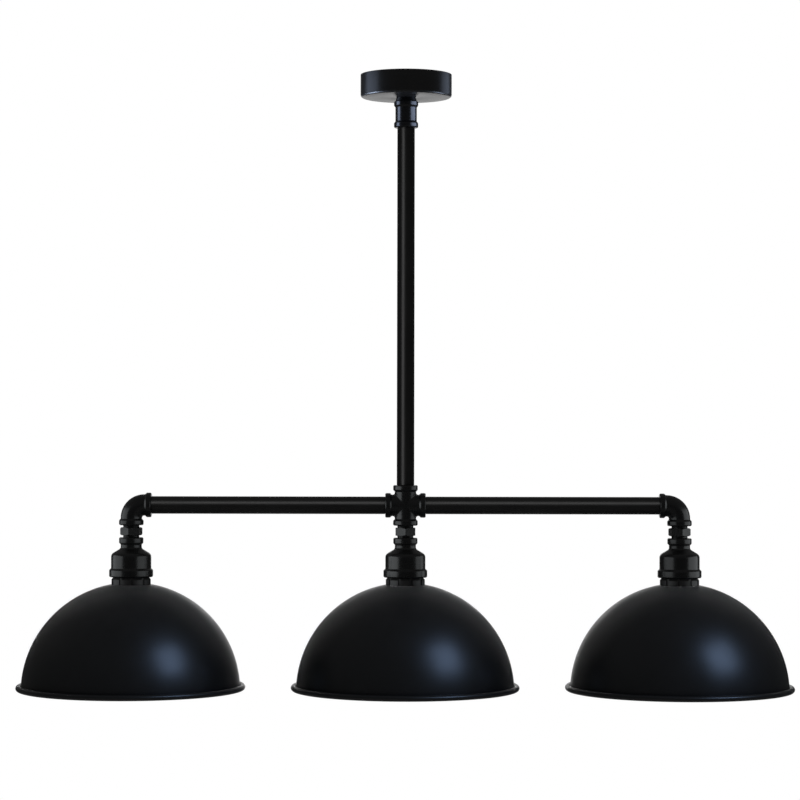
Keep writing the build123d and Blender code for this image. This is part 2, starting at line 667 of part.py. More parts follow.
def glass_form(inset):
    """Pear-shaped outline of the glass, drawn in by an inset, as a solid."""
    top = LAMP_CAP_BOTTOM + GLASS_TUCK
    neck = CAP_OD / 2 - CAP_WALL - GLASS_FIT - inset
    ball = LAMP_OD / 2 - inset
    centre = LAMP_END + LAMP_OD / 2
    neck_end = LAMP_CAP_BOTTOM - GLASS_NECK_LENGTH
    rise = neck_end - centre
    waist = (rise**2 / (ball - neck) - ball - neck) / 2
    share = ball / (ball + waist)
    touch = ((neck + waist) * share, centre + rise * share)
    towards = sqrt((neck + waist - touch[0])**2 + (neck_end - touch[1])**2)
    middle_x = (neck + touch[0]) / 2 - (neck + waist)
    middle_z = (neck_end + touch[1]) / 2 - neck_end
    stretch = towards / sqrt(middle_x**2 + middle_z**2)
    waist_middle = (neck + waist + middle_x * stretch, neck_end + middle_z * stretch)
    outline = Curve() + [
        Line((0, top), (neck, top)),
        Line((neck, top), (neck, neck_end)),
        ThreePointArc((neck, neck_end), waist_middle, touch),
        ThreePointArc(touch, (ball * cos(radians(20)), centre - ball * sin(radians(20))), (0, centre - ball)),
        Line((0, centre - ball), (0, top)),
    ]
    return revolve(Plane.XZ * make_face(outline), Axis.Z)


def lamp_glass():
    """Opal glass of the lamp, a thin shell."""
    return glass_form(0) - glass_form(GLASS_WALL)


def lamp_pieces(turn):
    """All pieces of one lamp below its fitting, by name."""
    upper_ring = Pos(0, 0, SHADE_SEAT) * shade_ring(turn)
    lower_ring = Pos(0, 0, SHADE_SEAT - SHADE_WALL) * upside_down(shade_ring(turn))
    return {
        "hex_nipple": hex_nipple(turn),
        "holder_stud": holder_stud(),
        "reducer": reducer(),
        "upper_shade_ring": upper_ring,
        "shade": shade(),
        "lower_shade_ring": lower_ring,
        "holder_cap": holder_cap(),
        "holder_skirt": holder_skirt(),
        "holder_insert": holder_insert(),
        "screw_shell": screw_shell(),
        "centre_contact": centre_contact(),
        "lamp_cap": lamp_cap(),
        "lamp_glass": lamp_glass(),
    }


def all_pieces():
    """Every piece of the light in its place, by name."""
    pieces = {
        "ceiling_bracket": ceiling_bracket(),
        "canopy": canopy(),
        "canopy_nipple": canopy_nipple(),
        "bracket_locknuts": bracket_locknuts(),
        "drop_socket": drop_socket(),
        "distribution_block": distribution_block(),
        "terminal_screws": terminal_screws(),
        "block_screws": block_screws(),
        "earth_screw": earth_screw(),
        "canopy_flexes": canopy_flexes(),
        "drop_pipe": Pos(0, 0, DROP_BOTTOM) * pipe(DROP_PIPE_LENGTH),
        "cross_fitting": Pos(0, 0, ARM_LEVEL) * cross_fitting(),
        "middle_flex": middle_flex(),
    }
    arm = along_x(pipe(ARM_PIPE_LENGTH))
    for name, x, turn in LAMPS:
        place = Pos(x, 0, ARM_LEVEL)
        for piece, shape in lamp_pieces(turn).items():
            pieces[f"{name}_{piece}"] = place * shape
        if x:
            side = 1 if x > 0 else -1
            facing = Rot(0, 0, 90 * (1 + side))
            pieces[f"{name}_arm_pipe"] = Rot(0, 0, 90 * (1 - side)) * Pos(ARM_START, 0, ARM_LEVEL) * arm
            pieces[f"{name}_elbow"] = place * facing * elbow()
            pieces[f"{name}_arm_flex"] = arm_flex(name, side)
            pieces[f"{name}_elbow_flex"] = elbow_flex(x, side)
    return pieces


os.makedirs("parts", exist_ok=True)
for node, piece in all_pieces().items():
    export_step(piece, f"parts/{node}.step")
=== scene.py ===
"""Pipe ceiling light with three domed shades: the looks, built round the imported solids.

Metres, +Z up, in the frame of the solids: the origin is the middle of the ceiling face,
the arms run along X and the front looks towards -Y.
"""
import json
from math import asin, atan2, cos, pi, radians, sin, sqrt, tan
from typing import NamedTuple

import bmesh
import bpy
from bpy.props import FloatProperty, FloatVectorProperty, IntProperty, PointerProperty
from mathutils import Euler, Matrix, Vector

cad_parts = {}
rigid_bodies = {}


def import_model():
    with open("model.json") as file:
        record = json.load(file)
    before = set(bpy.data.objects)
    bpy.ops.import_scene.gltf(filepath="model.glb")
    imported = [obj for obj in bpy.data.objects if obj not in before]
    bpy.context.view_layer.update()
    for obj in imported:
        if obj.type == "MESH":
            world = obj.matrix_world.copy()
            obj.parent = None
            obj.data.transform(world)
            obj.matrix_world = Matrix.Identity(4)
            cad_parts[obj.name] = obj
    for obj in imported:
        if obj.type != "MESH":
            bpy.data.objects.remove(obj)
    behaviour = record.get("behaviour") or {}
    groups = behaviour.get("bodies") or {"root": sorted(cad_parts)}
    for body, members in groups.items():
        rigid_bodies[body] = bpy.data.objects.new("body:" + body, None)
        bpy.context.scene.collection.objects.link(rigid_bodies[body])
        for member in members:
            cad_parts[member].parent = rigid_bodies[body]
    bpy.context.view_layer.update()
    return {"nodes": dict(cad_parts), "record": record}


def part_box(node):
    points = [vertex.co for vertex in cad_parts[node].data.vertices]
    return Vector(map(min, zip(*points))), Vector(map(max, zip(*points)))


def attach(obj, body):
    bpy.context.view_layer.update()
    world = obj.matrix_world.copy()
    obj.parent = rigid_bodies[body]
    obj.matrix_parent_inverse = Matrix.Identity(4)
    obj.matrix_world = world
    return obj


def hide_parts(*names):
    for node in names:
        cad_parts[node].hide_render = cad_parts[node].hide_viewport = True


bl_info = {
    "name": "Pipe Ceiling Light",
    "version": (1, 0, 0),
    "blender": (4, 5, 0),
    "location": "3D View > Sidebar > Pipe Light",
    "description": "Builds a pipe ceiling light with three domed shades, and its stage",
    "category": "Object",
}

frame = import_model()

SIDES = ("left", "middle", "right")
HEAD_BODY = {"left": "left_head", "middle": "pipe_frame", "right": "right_head"}
LAMP_BODY = {side: f"{side}_lamp" for side in SIDES}
# Turn of each lamp's nipple and shade rings about the lamp's axis
LAMP_TURN = {"left": radians(-10.0), "middle": 0.0, "right": radians(10.0)}
# Turn about Z that points an elbow's level leg at its arm
ELBOW_TURN = {"left": 0.0, "right": pi}
# Lane of each flex at the block, counted from the middle, and its angle in the nipple in degrees
FLEX_LANES = ((-1, 150.0), (0, 270.0), (1, 30.0))
# Angles beside an elbow's parting line, in degrees; its ridge ends at the outermost
PARTING_ANGLES = (-2.4, -1.1, 0.0, 1.1, 2.4)
PARTING_END = PARTING_ANGLES[-1]
# Points closer than this are one point
WELD = 1e-6
# Steps of a rounded corner, of an elbow's bend, round a hexagon and along a dome
ARC_STEPS = 6
BEND_STEPS = 16
HEX_STEPS = 72
DOME_STEPS = 64
# Degrees between the points round a leg
LEG_STEP = 5


def levels(node):
    """Lowest and highest level of a solid at rest."""
    low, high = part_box(node)
    return low.z, high.z


def centre(node):
    """Middle of a solid's box."""
    low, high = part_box(node)
    return (low + high) / 2


def half_width(node):
    """Half of a solid's reach along Y, the radius of a piece that is turned about Z."""
    low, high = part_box(node)
    return (high.y - low.y) / 2


AXIS_X = {side: centre(f"{side}_shade").x for side in SIDES}
ARM_LEVEL = centre("left_arm_pipe").z
PIPE_RADIUS = half_width("drop_pipe")
SHADE_RADIUS = half_width("middle_shade")
SHADE_RIM, SHADE_SEAT = levels("middle_shade")
CANOPY_RADIUS = half_width("canopy")
CANOPY_FLOOR = levels("canopy")[0]
THREAD_RADIUS = half_width("canopy_nipple")
FITTING_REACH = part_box("cross_fitting")[1].x
BEAD_RADIUS = half_width("cross_fitting")
HOLDER_RADIUS = half_width("middle_holder_skirt")


def length(name, description, default):
    """A length that a user may change."""
    return FloatProperty(name=name, description=description, default=default, min=0.0, precision=5,
                         unit="LENGTH")


def place_value(name, description, default):
    """A place on one axis that a user may change."""
    return FloatProperty(name=name, description=description, default=default, unit="LENGTH")


def angle_value(name, description, degrees):
    """An angle that a user may change."""
    return FloatProperty(name=name, description=description, default=radians(degrees), subtype="ANGLE")


def strength_value(name, description, default):
    """A brightness that a user may change."""
    return FloatProperty(name=name, description=description, default=default, min=0.0)


def colour(name, description, default):
    """A colour that a user may change."""
    return FloatVectorProperty(name=name, description=description, default=default, size=3, min=0.0, max=1.0,
                               subtype="COLOR")


class PipeLightSizes(bpy.types.PropertyGroup):
    """Sizes of the details that the solids' boxes don't give."""

    pipe_wall: length("Pipe wall", "Wall of the pipes", 0.0035)
    thread_grip: length("Thread grip", "Length of thread inside a fitting", 0.013)
    thread_pitch: length("Thread pitch", "Pitch of the pipe thread", 0.001814)
    thread_depth: length("Thread depth", "Depth of the pipe thread under its paint", 0.0005)
    thread_taper: length("Thread taper", "Growth of the pipe thread's radius towards a hexagon", 0.00025)
    fitting_body: length("Fitting body", "Diameter of a fitting between its beads", 0.0276)
    fitting_bore: length("Fitting bore", "Bore of the fittings", 0.017)
    bead_length: length("Bead length", "Length of the bead at a fitting's mouth", 0.0062)
    bead_slope: length("Bead slope", "Length of the slope behind a bead", 0.0022)
    bead_round: length("Bead rounding", "Radius of a bead's edges", 0.0018)
    elbow_bend: length("Elbow bend", "Radius of the elbow's middle line", 0.017)
    parting_height: length("Parting line", "Height of the casting's parting line", 0.00022)
    parting_width: length("Parting width", "Half of the width of the cross's parting line", 0.0006)
    canopy_wall: length("Canopy wall", "Thickness of the canopy", 0.001)
    canopy_corner: length("Canopy corner", "Outer radius of the canopy's lower edge", 0.0035)
    socket_body: length("Socket body", "Diameter of the drop socket between its beads", 0.0282)
    socket_collar: length("Socket collar", "Diameter of the collar under the canopy", 0.025)
    socket_collar_length: length("Socket collar length", "Length of the collar under the canopy", 0.0046)
    hex_flats: length("Hexagon", "Distance across the flats of a nipple", 0.026)
    hex_height: length("Hexagon height", "Height of a nipple's hexagon", 0.0104)
    hex_chamfer: length("Hexagon chamfer", "Height of the chamfer at the hexagon's corners", 0.0013)
    nipple_neck: length("Nipple neck", "Bare thread on each side of the hexagon", 0.0028)
    nipple_bore: length("Nipple bore", "Bore of the hex nipple", 0.01)
    reducer_small_bead: length("Reducer top bead", "Length of the reducer's narrow bead", 0.0072)
    reducer_neck: length("Reducer neck", "Diameter of the reducer's neck", 0.0276)
    reducer_neck_end: length("Reducer neck end", "Depth at which the neck starts to flare", 0.0145)
    reducer_shoulder: length("Reducer shoulder", "Depth at which the flare ends", 0.022)
    reducer_body: length("Reducer body", "Diameter of the reducer's wide body", 0.0526)
    reducer_large_bead: length("Reducer bottom bead", "Length of the reducer's wide bead", 0.0092)
    reducer_flare: length("Reducer flare", "Radius of the curve from the neck into the flare", 0.004)
    reducer_shoulder_round: length("Shoulder round", "Radius of the curve from flare to body", 0.0065)
    reducer_mouth: length("Reducer mouth", "Diameter of the reducer's wide mouth", 0.0419)
    reducer_mouth_depth: length("Reducer mouth depth", "Depth of the reducer's wide mouth", 0.0275)
    ring_top: length("Ring top", "Diameter of a shade ring at its chamfered end", 0.0464)
    ring_chamfer: length("Ring chamfer", "Height of a shade ring's chamfer", 0.003)
    ring_notches: IntProperty(name="Ring notches", description="Notches round a shade ring", default=10,
                              min=3)
    ring_notch_width: length("Notch width", "Width of a shade ring's notch", 0.0034)
    ring_notch_depth: length("Notch depth", "Depth of a shade ring's notch", 0.0015)
    shade_wall: length("Shade wall", "Thickness of the spun shade", 0.0008)
    shade_seat: length("Shade seat", "Diameter of the flat on top of a shade", 0.056)
    shade_hole_fit: length("Shade hole fit", "Gap round the lampholder in the shade's hole", 0.0005)
    rim_roll: length("Rim roll", "Diameter of the rolled rim", 0.0076)
    rim_crease: length("Rim crease", "Gap between the dome and its rolled edge", 0.0005)
    holder_pitch: length("Holder pitch", "Pitch of the lampholder's outer thread", 0.0025)
    holder_depth: length("Holder thread depth", "Depth of the lampholder's outer thread", 0.0009)
    holder_bore: length("Holder bore", "Bore of the lampholder's skirt", 0.0282)
    cap_pitch: length("Cap pitch", "Pitch of the lamp cap's thread", 0.0036)
    cap_depth: length("Cap thread depth", "Depth of the lamp cap's thread", 0.001)
    cap_turns: IntProperty(name="Cap turns", description="Turns of the lamp cap's thread", default=5, min=1)
    cap_wall: length("Cap wall", "Thickness of the lamp cap's skirt", 0.0006)
    cap_recess: length("Cap recess", "Depth of the hollow at the lamp cap's open end", 0.004)
    cap_tip: length("Cap tip", "Radius of the contact on top of the lamp cap", 0.0045)
    cap_tip_height: length("Cap tip height", "Height of the contact on top of the lamp cap", 0.0012)
    cap_cone: length("Cap cone", "Height of the cone under the contact", 0.004)
    glass_wall: length("Glass wall", "Thickness of the lamp's glass", 0.0008)
    glass_inset: length("Glass inset", "Distance of the glass's neck from the cap's outside", 0.00085)
    glass_neck: length("Glass neck", "Length of the glass's neck below the cap", 0.008)
    flex_diameter: length("Flex", "Diameter of a lamp flex", 0.004)
    flex_spacing: length("Flex spacing", "Distance between the flexes at the block", 0.009)
    flex_ring: length("Flex ring", "Distance of the flexes from the nipple's axis", 0.003)
    flex_rise: length("Flex rise", "Height above the nipple at which the flexes bend over", 0.009)
    flex_entry: length("Flex entry", "Height of the flexes in the block, and their straight run to it", 0.006)


class PipeLightFinish(bpy.types.PropertyGroup):
    """Colours of the finishes."""

    pipe_paint: colour("Pipe paint", "Satin black of the pipes", (0.0025, 0.0025, 0.0026))
    canopy_paint: colour("Canopy paint", "Satin black of the canopy", (0.006, 0.006, 0.0062))
    shade_paint: colour("Shade paint", "Soft black outside the shades", (0.0028, 0.0033, 0.004))
    shade_enamel: colour("Shade enamel", "White inside the shades", (0.80, 0.79, 0.76))
    iron_paint: colour("Iron paint", "Black on the cast fittings", (0.003, 0.0032, 0.0034))
    bare_edge: colour("Worn edge", "What shows where black paint is rubbed thin", (0.055, 0.055, 0.056))
    dust: colour("Dust", "Dust that settles on top", (0.16, 0.155, 0.15))
    plastic: colour("Black plastic", "Lampholder and shade rings", (0.012, 0.012, 0.012))
    zinc: colour("Zinc", "Plated steel of bracket, nuts and screws", (0.62, 0.62, 0.60))
    brass: colour("Brass", "Contacts and earth screw", (0.78, 0.60, 0.30))
    lamp_metal: colour("Lamp cap", "Rolled cap of a lamp", (0.78, 0.78, 0.78))
    block: colour("Block", "Distribution block", (0.85, 0.85, 0.82))
    ceramic: colour("Ceramic", "Insert of the lampholder", (0.86, 0.85, 0.82))
    opal: colour("Opal glass", "Glass of the lamps", (0.93, 0.92, 0.88))
    flex_sheath: colour("Flex sheath", "Sheath of the lamp flexes", (0.75, 0.74, 0.72))


class PipeLightStage(bpy.types.PropertyGroup):
    """Camera and surroundings."""

    camera_distance: length("Camera distance", "From the camera to the plane of the shades", 3.418)
    camera_height: place_value("Camera height", "Level of the camera", -0.477)
    camera_aside: place_value("Camera aside", "Camera's place along X", -0.0074)
    camera_tilt: angle_value("Camera tilt", "Upward tilt", 0.82)
    camera_roll: angle_value("Camera roll", "Turn about the line of sight", 0.103)
    lens: FloatProperty(name="Lens", description="Focal length in millimetres", default=117.03, min=1.0)
    floor_level: place_value("Floor", "Level of the floor", -2.5)
    floor_reach: length("Floor reach", "Half of the floor's width", 6.0)
    floor_fade: length("Floor fade", "Distance at which the floor starts to fade into white", 3.0)
    floor_fade_end: length("Floor fade end", "Distance at which the floor is white", 5.8)
    floor_glow: strength_value("Floor glow", "Brightness of the floor's own glow before it fades", 0.86)
    backdrop_distance: length("Backdrop", "From the light back to the white backdrop", 7.0)
    backdrop_reach: length("Backdrop reach", "Half of the backdrop's width", 1.7)
    backdrop_rise: place_value("Backdrop rise", "Height of the backdrop's middle above the camera", 0.1)
    ambient: strength_value("Ambient", "Strength of the light from all round", 0.25)
    mirrored_low: strength_value("Mirrored low", "Brightness of the space around in reflections", 0.03)
    mirrored_high: strength_value("Mirrored high", "Brightness of the space overhead in reflections", 0.1)


# Small tools for node trees

class Graph:
    """Adds nodes to one tree and links them."""

    def __init__(self, tree):
        self.tree = tree

    def add(self, kind, inputs=(), **settings):
        """Add a node, set its fields, and set or link its inputs."""
        node = self.tree.nodes.new(kind)
        for name, value in settings.items():
            setattr(node, name, value)
        for name, value in dict(inputs).items():
            self.feed(node.inputs[name], value)
        return node

    def feed(self, socket, value):
        """Link a socket to another, or set it to a value."""
        if isinstance(value, bpy.types.NodeSocket):
            self.tree.links.new(value, socket)
        else:
            socket.default_value = value

    def math(self, operation, first, second=0.0):
        """Result of a sum on one or two values."""
        return self.add("ShaderNodeMath", {0: first, 1: second}, operation=operation).outputs[0]

    def mix(self, share, first, second):
        """Mix of two colours."""
        node = self.add("ShaderNodeMix", {0: share, 6: first, 7: second}, data_type="RGBA")
        return node.outputs[2]

    def mix_shaders(self, share, first, second):
        """Mix of two shader nodes."""
        shaders = {0: share, 1: first.outputs[0], 2: second.outputs[0]}
        return self.add("ShaderNodeMixShader", shaders)

    def spread(self, value, low, high, to_low=0.0, to_high=1.0):
        """A value taken from one range to another and held inside it."""
        node = self.add("ShaderNodeMapRange", {0: value, 1: low, 2: high, 3: to_low, 4: to_high})
        return node.outputs[0]

    def noise(self, vector, scale, detail):
        """Noise over a vector, mostly between 0.3 and 0.7."""
        node = self.add("ShaderNodeTexNoise", {"Vector": vector, "Scale": scale, "Detail": detail})
        return node.outputs["Fac"]


def number(name, default=None):
    """A plain number as a socket of a node group."""
    return name, "NodeSocketFloat", default


def whole(name, default):
    """A whole number as a socket of a node group."""
    return name, "NodeSocketInt", default


def new_tree(name, kind, inputs, outputs):
    """Node group with named sockets; gives its graph, what it is given and what it results in."""
    tree = bpy.data.node_groups.new(name, kind)
    for in_out, sockets in (("INPUT", inputs), ("OUTPUT", outputs)):
        for socket_name, socket_kind, default in sockets:
            socket = tree.interface.new_socket(socket_name, in_out=in_out, socket_type=socket_kind)
            if default is not None:
                socket.default_value = default
    graph = Graph(tree)
    return graph, graph.add("NodeGroupInput").outputs, graph.add("NodeGroupOutput").inputs


# Geometry node trees

GEOMETRY = ("Geometry", "NodeSocketGeometry", None)
MATERIAL = ("Material", "NodeSocketMaterial", None)


def new_shape(name, *inputs):
    """Geometry tree that takes a base, some values and a material."""
    return new_tree(name, "GeometryNodeTree", (GEOMETRY, *inputs, MATERIAL), (GEOMETRY,))


def end_shape(graph, given, result, geometry):
    """Close a geometry tree: realize what repeats and give it its material."""
    real = graph.add("GeometryNodeRealizeInstances", {"Geometry": geometry})
    welded = graph.add("GeometryNodeMergeByDistance", {"Geometry": real.outputs[0], "Distance": WELD})
    painted = graph.add("GeometryNodeSetMaterial", {"Geometry": welded.outputs[0],
                                                    "Material": given["Material"]})
    graph.feed(result["Geometry"], painted.outputs[0])
    return graph.tree


def turning_tree():
    """Turns an outline about Z; the outline is drawn from a circle of the path radius."""
    graph, given, result = new_shape("Turned piece", whole("Segments", 96), number("Path radius", 0.1))
    outline = graph.add("GeometryNodeMeshToCurve", {"Mesh": given["Geometry"]})
    circle = graph.add("GeometryNodeCurvePrimitiveCircle", {"Resolution": given["Segments"],
                                                            "Radius": given["Path radius"]})
    skin = graph.add("GeometryNodeCurveToMesh", {"Curve": circle.outputs["Curve"],
                                                 "Profile Curve": outline.outputs["Curve"]})
    return end_shape(graph, given, result, skin.outputs["Mesh"])


def thread_tree():
    """Winds a thread's ridge round Z, from level 0 upwards."""
    graph, given, result = new_shape(
        "Thread ridge", number("Radius", 0.01), number("Pitch", 0.002), number("Turns", 2.0),
        number("Height", 0.001), whole("Sides", 4), whole("Steps", 48))
    rise = graph.math("MULTIPLY", given["Pitch"], given["Turns"])
    coil = graph.add("GeometryNodeCurveSpiral", {
        "Resolution": given["Steps"], "Rotations": given["Turns"], "Start Radius": given["Radius"],
        "End Radius": given["Radius"], "Height": rise})
    upright = graph.add("GeometryNodeSetCurveNormal", {"Curve": coil.outputs["Curve"]}, mode="Z_UP")
    section = graph.add("GeometryNodeCurvePrimitiveCircle", {"Resolution": given["Sides"], "Radius": 1.0})
    half = graph.math("MULTIPLY", given["Pitch"], 0.5)
    scale = graph.add("ShaderNodeCombineXYZ", {"X": given["Height"], "Y": half, "Z": 1.0})
    ridge = graph.add("GeometryNodeTransform", {"Geometry": section.outputs["Curve"],
                                                "Scale": scale.outputs[0]})
    wound = graph.add("GeometryNodeCurveToMesh", {
        "Curve": upright.outputs["Curve"], "Profile Curve": ridge.outputs["Geometry"], "Fill Caps": True})
    return end_shape(graph, given, result, wound.outputs["Mesh"])


def repeat_tree():
    """Repeats one sector round Z until the ring is closed."""
    graph, given, result = new_shape("Ring of sectors", whole("Count", 10))
    stops = graph.add("GeometryNodeMeshLine", {"Count": given["Count"], "Offset": (0.0, 0.0, 0.0)})
    step = graph.math("DIVIDE", 2 * pi, given["Count"])
    index = graph.add("GeometryNodeInputIndex")
    turn = graph.add("ShaderNodeCombineXYZ", {"Z": graph.math("MULTIPLY", index.outputs[0], step)})
    ring = graph.add("GeometryNodeInstanceOnPoints", {
        "Points": stops.outputs[0], "Instance": given["Geometry"], "Rotation": turn.outputs[0]})
    return end_shape(graph, given, result, ring.outputs[0])


def shared_tree(name, build):
    """A node group by name, built the first time it is asked for."""
    return bpy.data.node_groups.get(name) or build()


def new_object(name, data):
    """Object of some data, linked to the scene."""
    obj = bpy.data.objects.new(name, data)
    bpy.context.scene.collection.objects.link(obj)
    return obj


def taken(worker):
    """Plain mesh of what an object shows; the object goes."""
    depsgraph = bpy.context.evaluated_depsgraph_get()
    mesh = bpy.data.meshes.new_from_object(worker.evaluated_get(depsgraph))
    bpy.data.objects.remove(worker)
    return mesh


def grown(base, tree, material, **inputs):
    """Plain mesh that a geometry tree makes of a base mesh."""
    worker = new_object("worker", base)
    modifier = worker.modifiers.new("shape", "NODES")
    modifier.node_group = tree
    values = {name.replace("_", " ").capitalize(): value for name, value in inputs.items()}
    values["Material"] = material
    for item in tree.interface.items_tree:
        if item.item_type == "SOCKET" and item.in_out == "INPUT" and item.name in values:
            modifier[item.identifier] = values[item.name]
    return taken(worker)


# Outlines and meshes

def rounded(points, radii):
    """Closed outline with each corner replaced by an arc of its own radius."""
    outline = []
    for index, (point, radius) in enumerate(zip(points, radii)):
        corner = Vector(point)
        if radius <= 0:
            outline.append(corner)
            continue
        before = (Vector(points[index - 1]) - corner).normalized()
        after = (Vector(points[(index + 1) % len(points)]) - corner).normalized()
        half = before.angle(after) / 2
        middle = corner + (before + after).normalized() * (radius / sin(half))
        first = corner + before * (radius / tan(half)) - middle
        last = corner + after * (radius / tan(half)) - middle
        sweep = pi - 2 * half
        for step in range(ARC_STEPS + 1):
            share = step / ARC_STEPS
            reach = first * sin((1 - share) * sweep) + last * sin(share * sweep)
            outline.append(middle + reach / sin(sweep))
    return outline


def arc(middle, radius, start, end, steps):
    """Points of a circular arc between two angles, measured from +radius towards +level."""
    points = []
    for step in range(steps + 1):
        angle = start + (end - start) * step / steps
        points.append(Vector((middle[0] + radius * cos(angle), middle[1] + radius * sin(angle))))
    return points


def mesh_of(vertices, faces, edges=()):
    """Mesh of plain lists."""
    mesh = bpy.data.meshes.new("mesh")
    mesh.from_pydata([tuple(vertex) for vertex in vertices], list(edges), list(faces))
    return mesh


def turned(outline, material, segments=96):
    """Mesh of a closed (radius, level) outline turned about Z."""
    path_radius = max(point[0] for point in outline) * 2
    vertices = [(point[0] - path_radius, -point[1], 0.0) for point in outline]
    count = len(vertices)
    edges = [(index, (index + 1) % count) for index in range(count)]
    base = mesh_of(vertices, (), edges)
    tree = shared_tree("Turned piece", turning_tree)
    return tidied(grown(base, tree, material, segments=segments, path_radius=path_radius))


def thread(radius, pitch, turns, height, level, material, sides):
    """Mesh of a thread's ridge whose crest is at the radius, from a level upwards."""
    tree = shared_tree("Thread ridge", thread_tree)
    mesh = grown(mesh_of((), ()), tree, material, radius=radius - height, pitch=pitch, turns=turns,
                 height=height, sides=sides)
    mesh.transform(Matrix.Translation((0, 0, level)))
    return tidied(mesh)


def tidied(mesh):
    """The mesh with its doubles merged and its faces turned outwards."""
    bm = bmesh.new()
    bm.from_mesh(mesh)
    bmesh.ops.remove_doubles(bm, verts=bm.verts, dist=WELD)
    bmesh.ops.dissolve_degenerate(bm, edges=bm.edges, dist=WELD)
    bmesh.ops.recalc_face_normals(bm, faces=bm.faces)
    bm.to_mesh(mesh)
    bm.free()
    return mesh


def joined(meshes):
    """One mesh of several that share their material."""
    bm = bmesh.new()
    for mesh in meshes:
        bm.from_mesh(mesh)
    result = bpy.data.meshes.new("joined")
    bm.to_mesh(result)
    bm.free()
    for material in meshes[0].materials:
        result.materials.append(material)
    return result


def rings_mesh(rings, closed_path):
    """Skin over rings of equally many points, each ring closed; the path may be closed too."""
    count = len(rings[0])
    vertices = [point for ring in rings for point in ring]
    faces = []
    for index in range(len(rings) if closed_path else len(rings) - 1):
        here = index * count
        there = (index + 1) % len(rings) * count
        for step in range(count):
            after = (step + 1) % count
            faces.append((here + step, here + after, there + after, there + step))
    return mesh_of(vertices, faces)


def piece(name, mesh, body, nodes, smooth_angle=30.0):
    """Finished piece: smooth where it is round, riding on its body, in place of its solids."""
    mesh.name = name
    mesh.shade_smooth()
    mesh.set_sharp_from_angle(angle=radians(smooth_angle))
    obj = new_object(name, mesh)
    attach(obj, body)
    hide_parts(*nodes)


def placed(mesh, matrix):
    """A copy of a mesh, moved to its place."""
    copy = mesh.copy()
    copy.transform(matrix)
    return copy


def on_lamp(mesh, side):
    """A copy of a mesh made for the middle lamp, moved to another lamp's axis."""
    return placed(mesh, Matrix.Translation((AXIS_X[side], 0, 0)))


def on_each_lamp(name, mesh, bodies, node):
    """The same piece at all three lamps, each in place of its own lamp's solid."""
    for side in SIDES:
        piece(f"{side}_{name}", on_lamp(mesh, side), bodies[side], [f"{side}_{node}"])


# Finishes

def grain_group():
    """Fine uneven surface: a height for bumps and a tone for colour and gloss."""
    broad_scale = 28.0
    fine_share = 0.4
    graph, given, result = new_tree(
        "Surface grain", "ShaderNodeTree", (number("Scale", 800.0), number("Detail", 3.0)),
        (number("Height"), number("Tone")))
    place = graph.add("ShaderNodeTexCoord").outputs["Object"]
    fine = graph.noise(place, given["Scale"], given["Detail"])
    broad = graph.noise(place, broad_scale, 2.0)
    graph.feed(result["Height"], fine)
    tone = graph.math("ADD", graph.math("MULTIPLY", fine, fine_share),
                      graph.math("MULTIPLY", broad, 1 - fine_share))
    graph.feed(result["Tone"], graph.spread(tone, 0.3, 0.7))
    return graph.tree


def wear_group():
    """Mask of outer edges where paint is thin, broken up by noise."""
    # Cosine between the rounded and the true normal, where wear starts and where it is full
    start = 0.98
    full = 0.75
    graph, given, result = new_tree(
        "Edge wear", "ShaderNodeTree", (number("Width", 0.0005), number("Breakup", 300.0)), (number("Mask"),))
    soft = graph.add("ShaderNodeBevel", {"Radius": given["Width"]}, samples=4)
    surface = graph.add("ShaderNodeNewGeometry")
    along = graph.add("ShaderNodeVectorMath", {0: soft.outputs[0], 1: surface.outputs["Normal"]},
                      operation="DOT_PRODUCT")
    edge = graph.spread(along.outputs["Value"], start, full)
    place = graph.add("ShaderNodeTexCoord").outputs["Object"]
    broken = graph.spread(graph.noise(place, given["Breakup"], 3.0), 0.38, 0.68)
    graph.feed(result["Mask"], graph.math("MULTIPLY", edge, broken))
    return graph.tree


def dust_group():
    """Mask of dust on what faces up, in soft patches."""
    # Least upward part of a normal that holds dust, and share of dust left between the patches
    steepest = 0.35
    thinnest = 0.35
    graph, given, result = new_tree(
        "Settled dust", "ShaderNodeTree", (number("Amount", 0.1), number("Patches", 60.0)), (number("Mask"),))
    place = graph.add("ShaderNodeTexCoord")
    facing = graph.add("ShaderNodeSeparateXYZ", {0: place.outputs["Normal"]})
    up = graph.spread(facing.outputs["Z"], steepest, 1.0)
    patches = graph.noise(place.outputs["Object"], given["Patches"], 4.0)
    uneven = graph.spread(patches, 0.3, 0.75, thinnest, 1.0)
    mask = graph.math("MULTIPLY", graph.math("MULTIPLY", up, uneven), given["Amount"])
    graph.feed(result["Mask"], mask)
    return graph.tree


def brush_group():
    """Fine drawn lines along one direction of a metal sheet or turned piece."""
    graph, given, result = new_tree(
        "Drawn lines", "ShaderNodeTree", (("Stretch", "NodeSocketVector", (60.0, 900.0, 900.0)),),
        (number("Height"), number("Tone")))
    place = graph.add("ShaderNodeTexCoord")
    drawn = graph.add("ShaderNodeVectorMath", {0: place.outputs["Object"], 1: given["Stretch"]},
                      operation="MULTIPLY")
    lines = graph.noise(drawn.outputs[0], 1.0, 2.0)
    graph.feed(result["Height"], lines)
    graph.feed(result["Tone"], graph.spread(lines, 0.3, 0.7))
    return graph.tree


def use_group(graph, name, build, **inputs):
    """Place a shared shader group with its own values."""
    node = graph.add("ShaderNodeGroup", node_tree=shared_tree(name, build))
    for socket, value in inputs.items():
        graph.feed(node.inputs[socket], value)
    return node.outputs


def opaque(tone, share=1.0):
    """A colour, or a darker share of it, as a socket's colour."""
    return (*(part * share for part in tone), 1.0)


